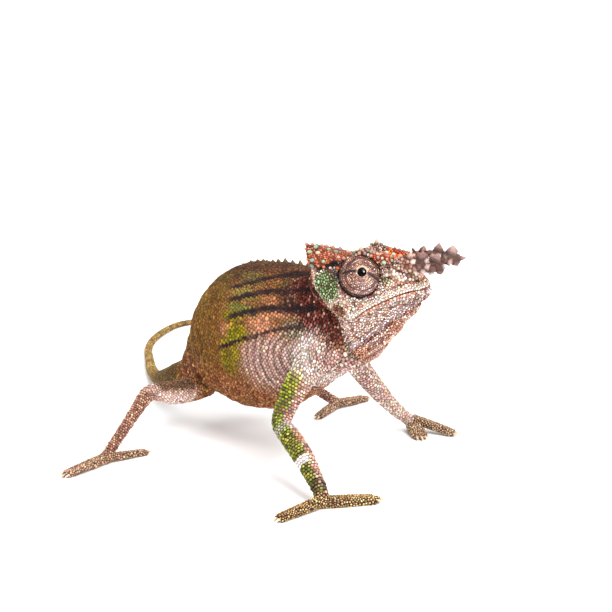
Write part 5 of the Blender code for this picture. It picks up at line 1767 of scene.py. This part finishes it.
class CHAMELEON_OT_stage(bpy.types.Operator):
    """Set up the pale floor, the soft lights and the camera"""

    bl_idname = "chameleon.stage"
    bl_label = "Stage"

    def execute(self, context):
        stage = context.scene.chameleon_stage
        select()
        bpy.ops.mesh.primitive_plane_add(size=4.0, location=(0, 0, -0.00002))
        floor = context.object
        floor.name = "floor"
        bpy.ops.object.transform_apply(location=True, rotation=True, scale=True)
        paper = bpy.data.materials.new("floor")
        paper.use_nodes = True
        shader = paper.node_tree.nodes["Principled BSDF"]
        shader.inputs["Base Color"].default_value = (0.93, 0.93, 0.93, 1)
        shader.inputs["Roughness"].default_value = 0.9
        floor.data.materials.append(paper)
        world = bpy.data.worlds.new("studio")
        world.use_nodes = True
        world.node_tree.nodes["Background"].inputs["Color"].default_value = (1, 1, 1, 1)
        world.node_tree.nodes["Background"].inputs["Strength"].default_value = stage.surround
        context.scene.world = world
        aim = ((AIM[0] - ORIGIN[0]) * MM, (AIM[1] - ORIGIN[1]) * MM)
        middle, target = Vector((*aim, 0.024)), Vector((*aim, 0.030))
        for name, azimuth, elevation, size, power, away in (
            ("key", 75, 50, 0.35, stage.key, 0.6),
            ("fill", -10, 35, 0.5, stage.fill, 0.7),
            ("top", 180, 75, 0.6, stage.top, 0.7),
            ("glint", 77, 33, 0.16, stage.glint, 0.5),
        ):
            towards = direction_to(azimuth, elevation)
            bpy.ops.object.light_add(type="AREA", location=middle + towards * away)
            lamp = context.object
            lamp.name = name
            lamp.data.shape = "DISK"
            lamp.data.size = size
            lamp.data.energy = power
            # The small lamp gives only the light spot in the eye
            lamp.visible_diffuse = name != "glint"
            lamp.rotation_euler = (-towards).to_track_quat("-Z", "Y").to_euler()
        back = direction_to(stage.azimuth, stage.elevation)
        bpy.ops.object.camera_add(location=target + back * stage.distance)
        camera = context.object
        camera.rotation_euler = (-back).to_track_quat("-Z", "Y").to_euler()
        camera.data.sensor_width = 36.0
        camera.data.lens = stage.lens
        camera.data.clip_start = 0.01
        camera.data.clip_end = 10.0
        context.scene.camera = camera
        context.scene.view_settings.view_transform = "Standard"
        return {"FINISHED"}


# Settings


def length_setting(name, description, default):
    return bpy.props.FloatProperty(
        name=name, description=description, default=default, min=0.0, unit="LENGTH", precision=5
    )


def number_setting(name, description, default, unit="NONE"):
    return bpy.props.FloatProperty(name=name, description=description, default=default, min=0.0, unit=unit)


def colour_setting(name, description, default):
    return bpy.props.FloatVectorProperty(
        name=name, description=description, default=default, min=0.0, max=1.0, size=3, subtype="COLOR_GAMMA"
    )


class ChameleonShape(bpy.types.PropertyGroup):
    skin_cell: length_setting("Skin detail", "The size of the cells that the skin is built from", 0.000306)
    eyeball_radius: length_setting("Eyeball", "The radius of each eyeball", 0.00165)
    claw_length: length_setting("Claw", "How far each claw reaches past its toe", 0.00155)


class ChameleonColours(bpy.types.PropertyGroup):
    trunk: colour_setting("Trunk", "The trunk's ground colour", (0.50, 0.32, 0.16))
    stripe: colour_setting("Stripes", "The dark lengthwise stripes", (0.15, 0.08, 0.09))
    rust: colour_setting("Rust", "The rusty patches on flank and legs", (0.75, 0.50, 0.37))
    green: colour_setting("Flank green", "The yellow-green patch on the flank", (0.52, 0.47, 0.02))
    maroon: colour_setting("Neck", "The dark red-brown behind the head", (0.34, 0.14, 0.10))
    temple: colour_setting("Temple", "The green scales behind the eye", (0.49, 0.67, 0.43))
    casque: colour_setting("Casque", "The orange wall of the casque", (0.84, 0.41, 0.24))
    brow: colour_setting("Brow", "The bright patch in front of the eye", (0.92, 0.34, 0.14))
    leg_green: colour_setting("Foreleg", "The outer side of the forelegs", (0.62, 0.62, 0.16))


class ChameleonStage(bpy.types.PropertyGroup):
    azimuth: number_setting("Azimuth", "Degrees round from looking along +Y", 43.0)
    elevation: number_setting("Elevation", "Degrees above the horizon", 15.0)
    distance: length_setting("Distance", "From the camera to what it looks at", 0.38)
    lens: number_setting("Lens", "Focal length in millimetres", 120.7)
    surround: number_setting("Surround", "Strength of the white surround", 1.02)
    key: number_setting("Key", "Power of the main light", 3.3, "POWER")
    fill: number_setting("Fill", "Power of the fill light", 0.8, "POWER")
    top: number_setting("Top", "Power of the top light", 1.9, "POWER")
    glint: number_setting("Glint", "Power of the small lamp", 9.0, "POWER")


class Tone:
    """The chosen colours as plain numbers."""

    def __init__(self, settings):
        for key in ("trunk", "stripe", "rust", "green", "maroon", "temple", "casque", "brow", "leg_green"):
            setattr(self, key, np.array(getattr(settings, key)))


class CHAMELEON_PT_panel(bpy.types.Panel):
    """The settings and steps of the chameleon"""

    bl_idname = "CHAMELEON_PT_panel"
    bl_label = "Chameleon"
    bl_space_type = "VIEW_3D"
    bl_region_type = "UI"
    bl_category = "Chameleon"

    def draw(self, context):
        for name, _ in GROUPS:
            group = getattr(context.scene, name)
            for key in group.bl_rna.properties.keys():
                if key not in ("rna_type", "name"):
                    self.layout.prop(group, key)
        for step in STEPS:
            self.layout.operator(step.bl_idname)


STEPS = (
    CHAMELEON_OT_skin,
    CHAMELEON_OT_scales,
    CHAMELEON_OT_lids,
    CHAMELEON_OT_eyes,
    CHAMELEON_OT_horns,
    CHAMELEON_OT_claws,
    CHAMELEON_OT_stage,
)
GROUPS = (
    ("chameleon_shape", ChameleonShape),
    ("chameleon_colours", ChameleonColours),
    ("chameleon_stage", ChameleonStage),
)


def register():
    for name, group in GROUPS:
        bpy.utils.register_class(group)
        setattr(bpy.types.Scene, name, bpy.props.PointerProperty(type=group))
    for step in (*STEPS, CHAMELEON_PT_panel):
        bpy.utils.register_class(step)


def unregister():
    for step in (CHAMELEON_PT_panel, *reversed(STEPS)):
        bpy.utils.unregister_class(step)
    for name, group in reversed(GROUPS):
        delattr(bpy.types.Scene, name)
        bpy.utils.unregister_class(group)


def main():
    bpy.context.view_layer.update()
    register()
    for step in STEPS:
        getattr(bpy.ops.chameleon, step.bl_idname.split(".")[1])()


if __name__ == "__main__":
    main()
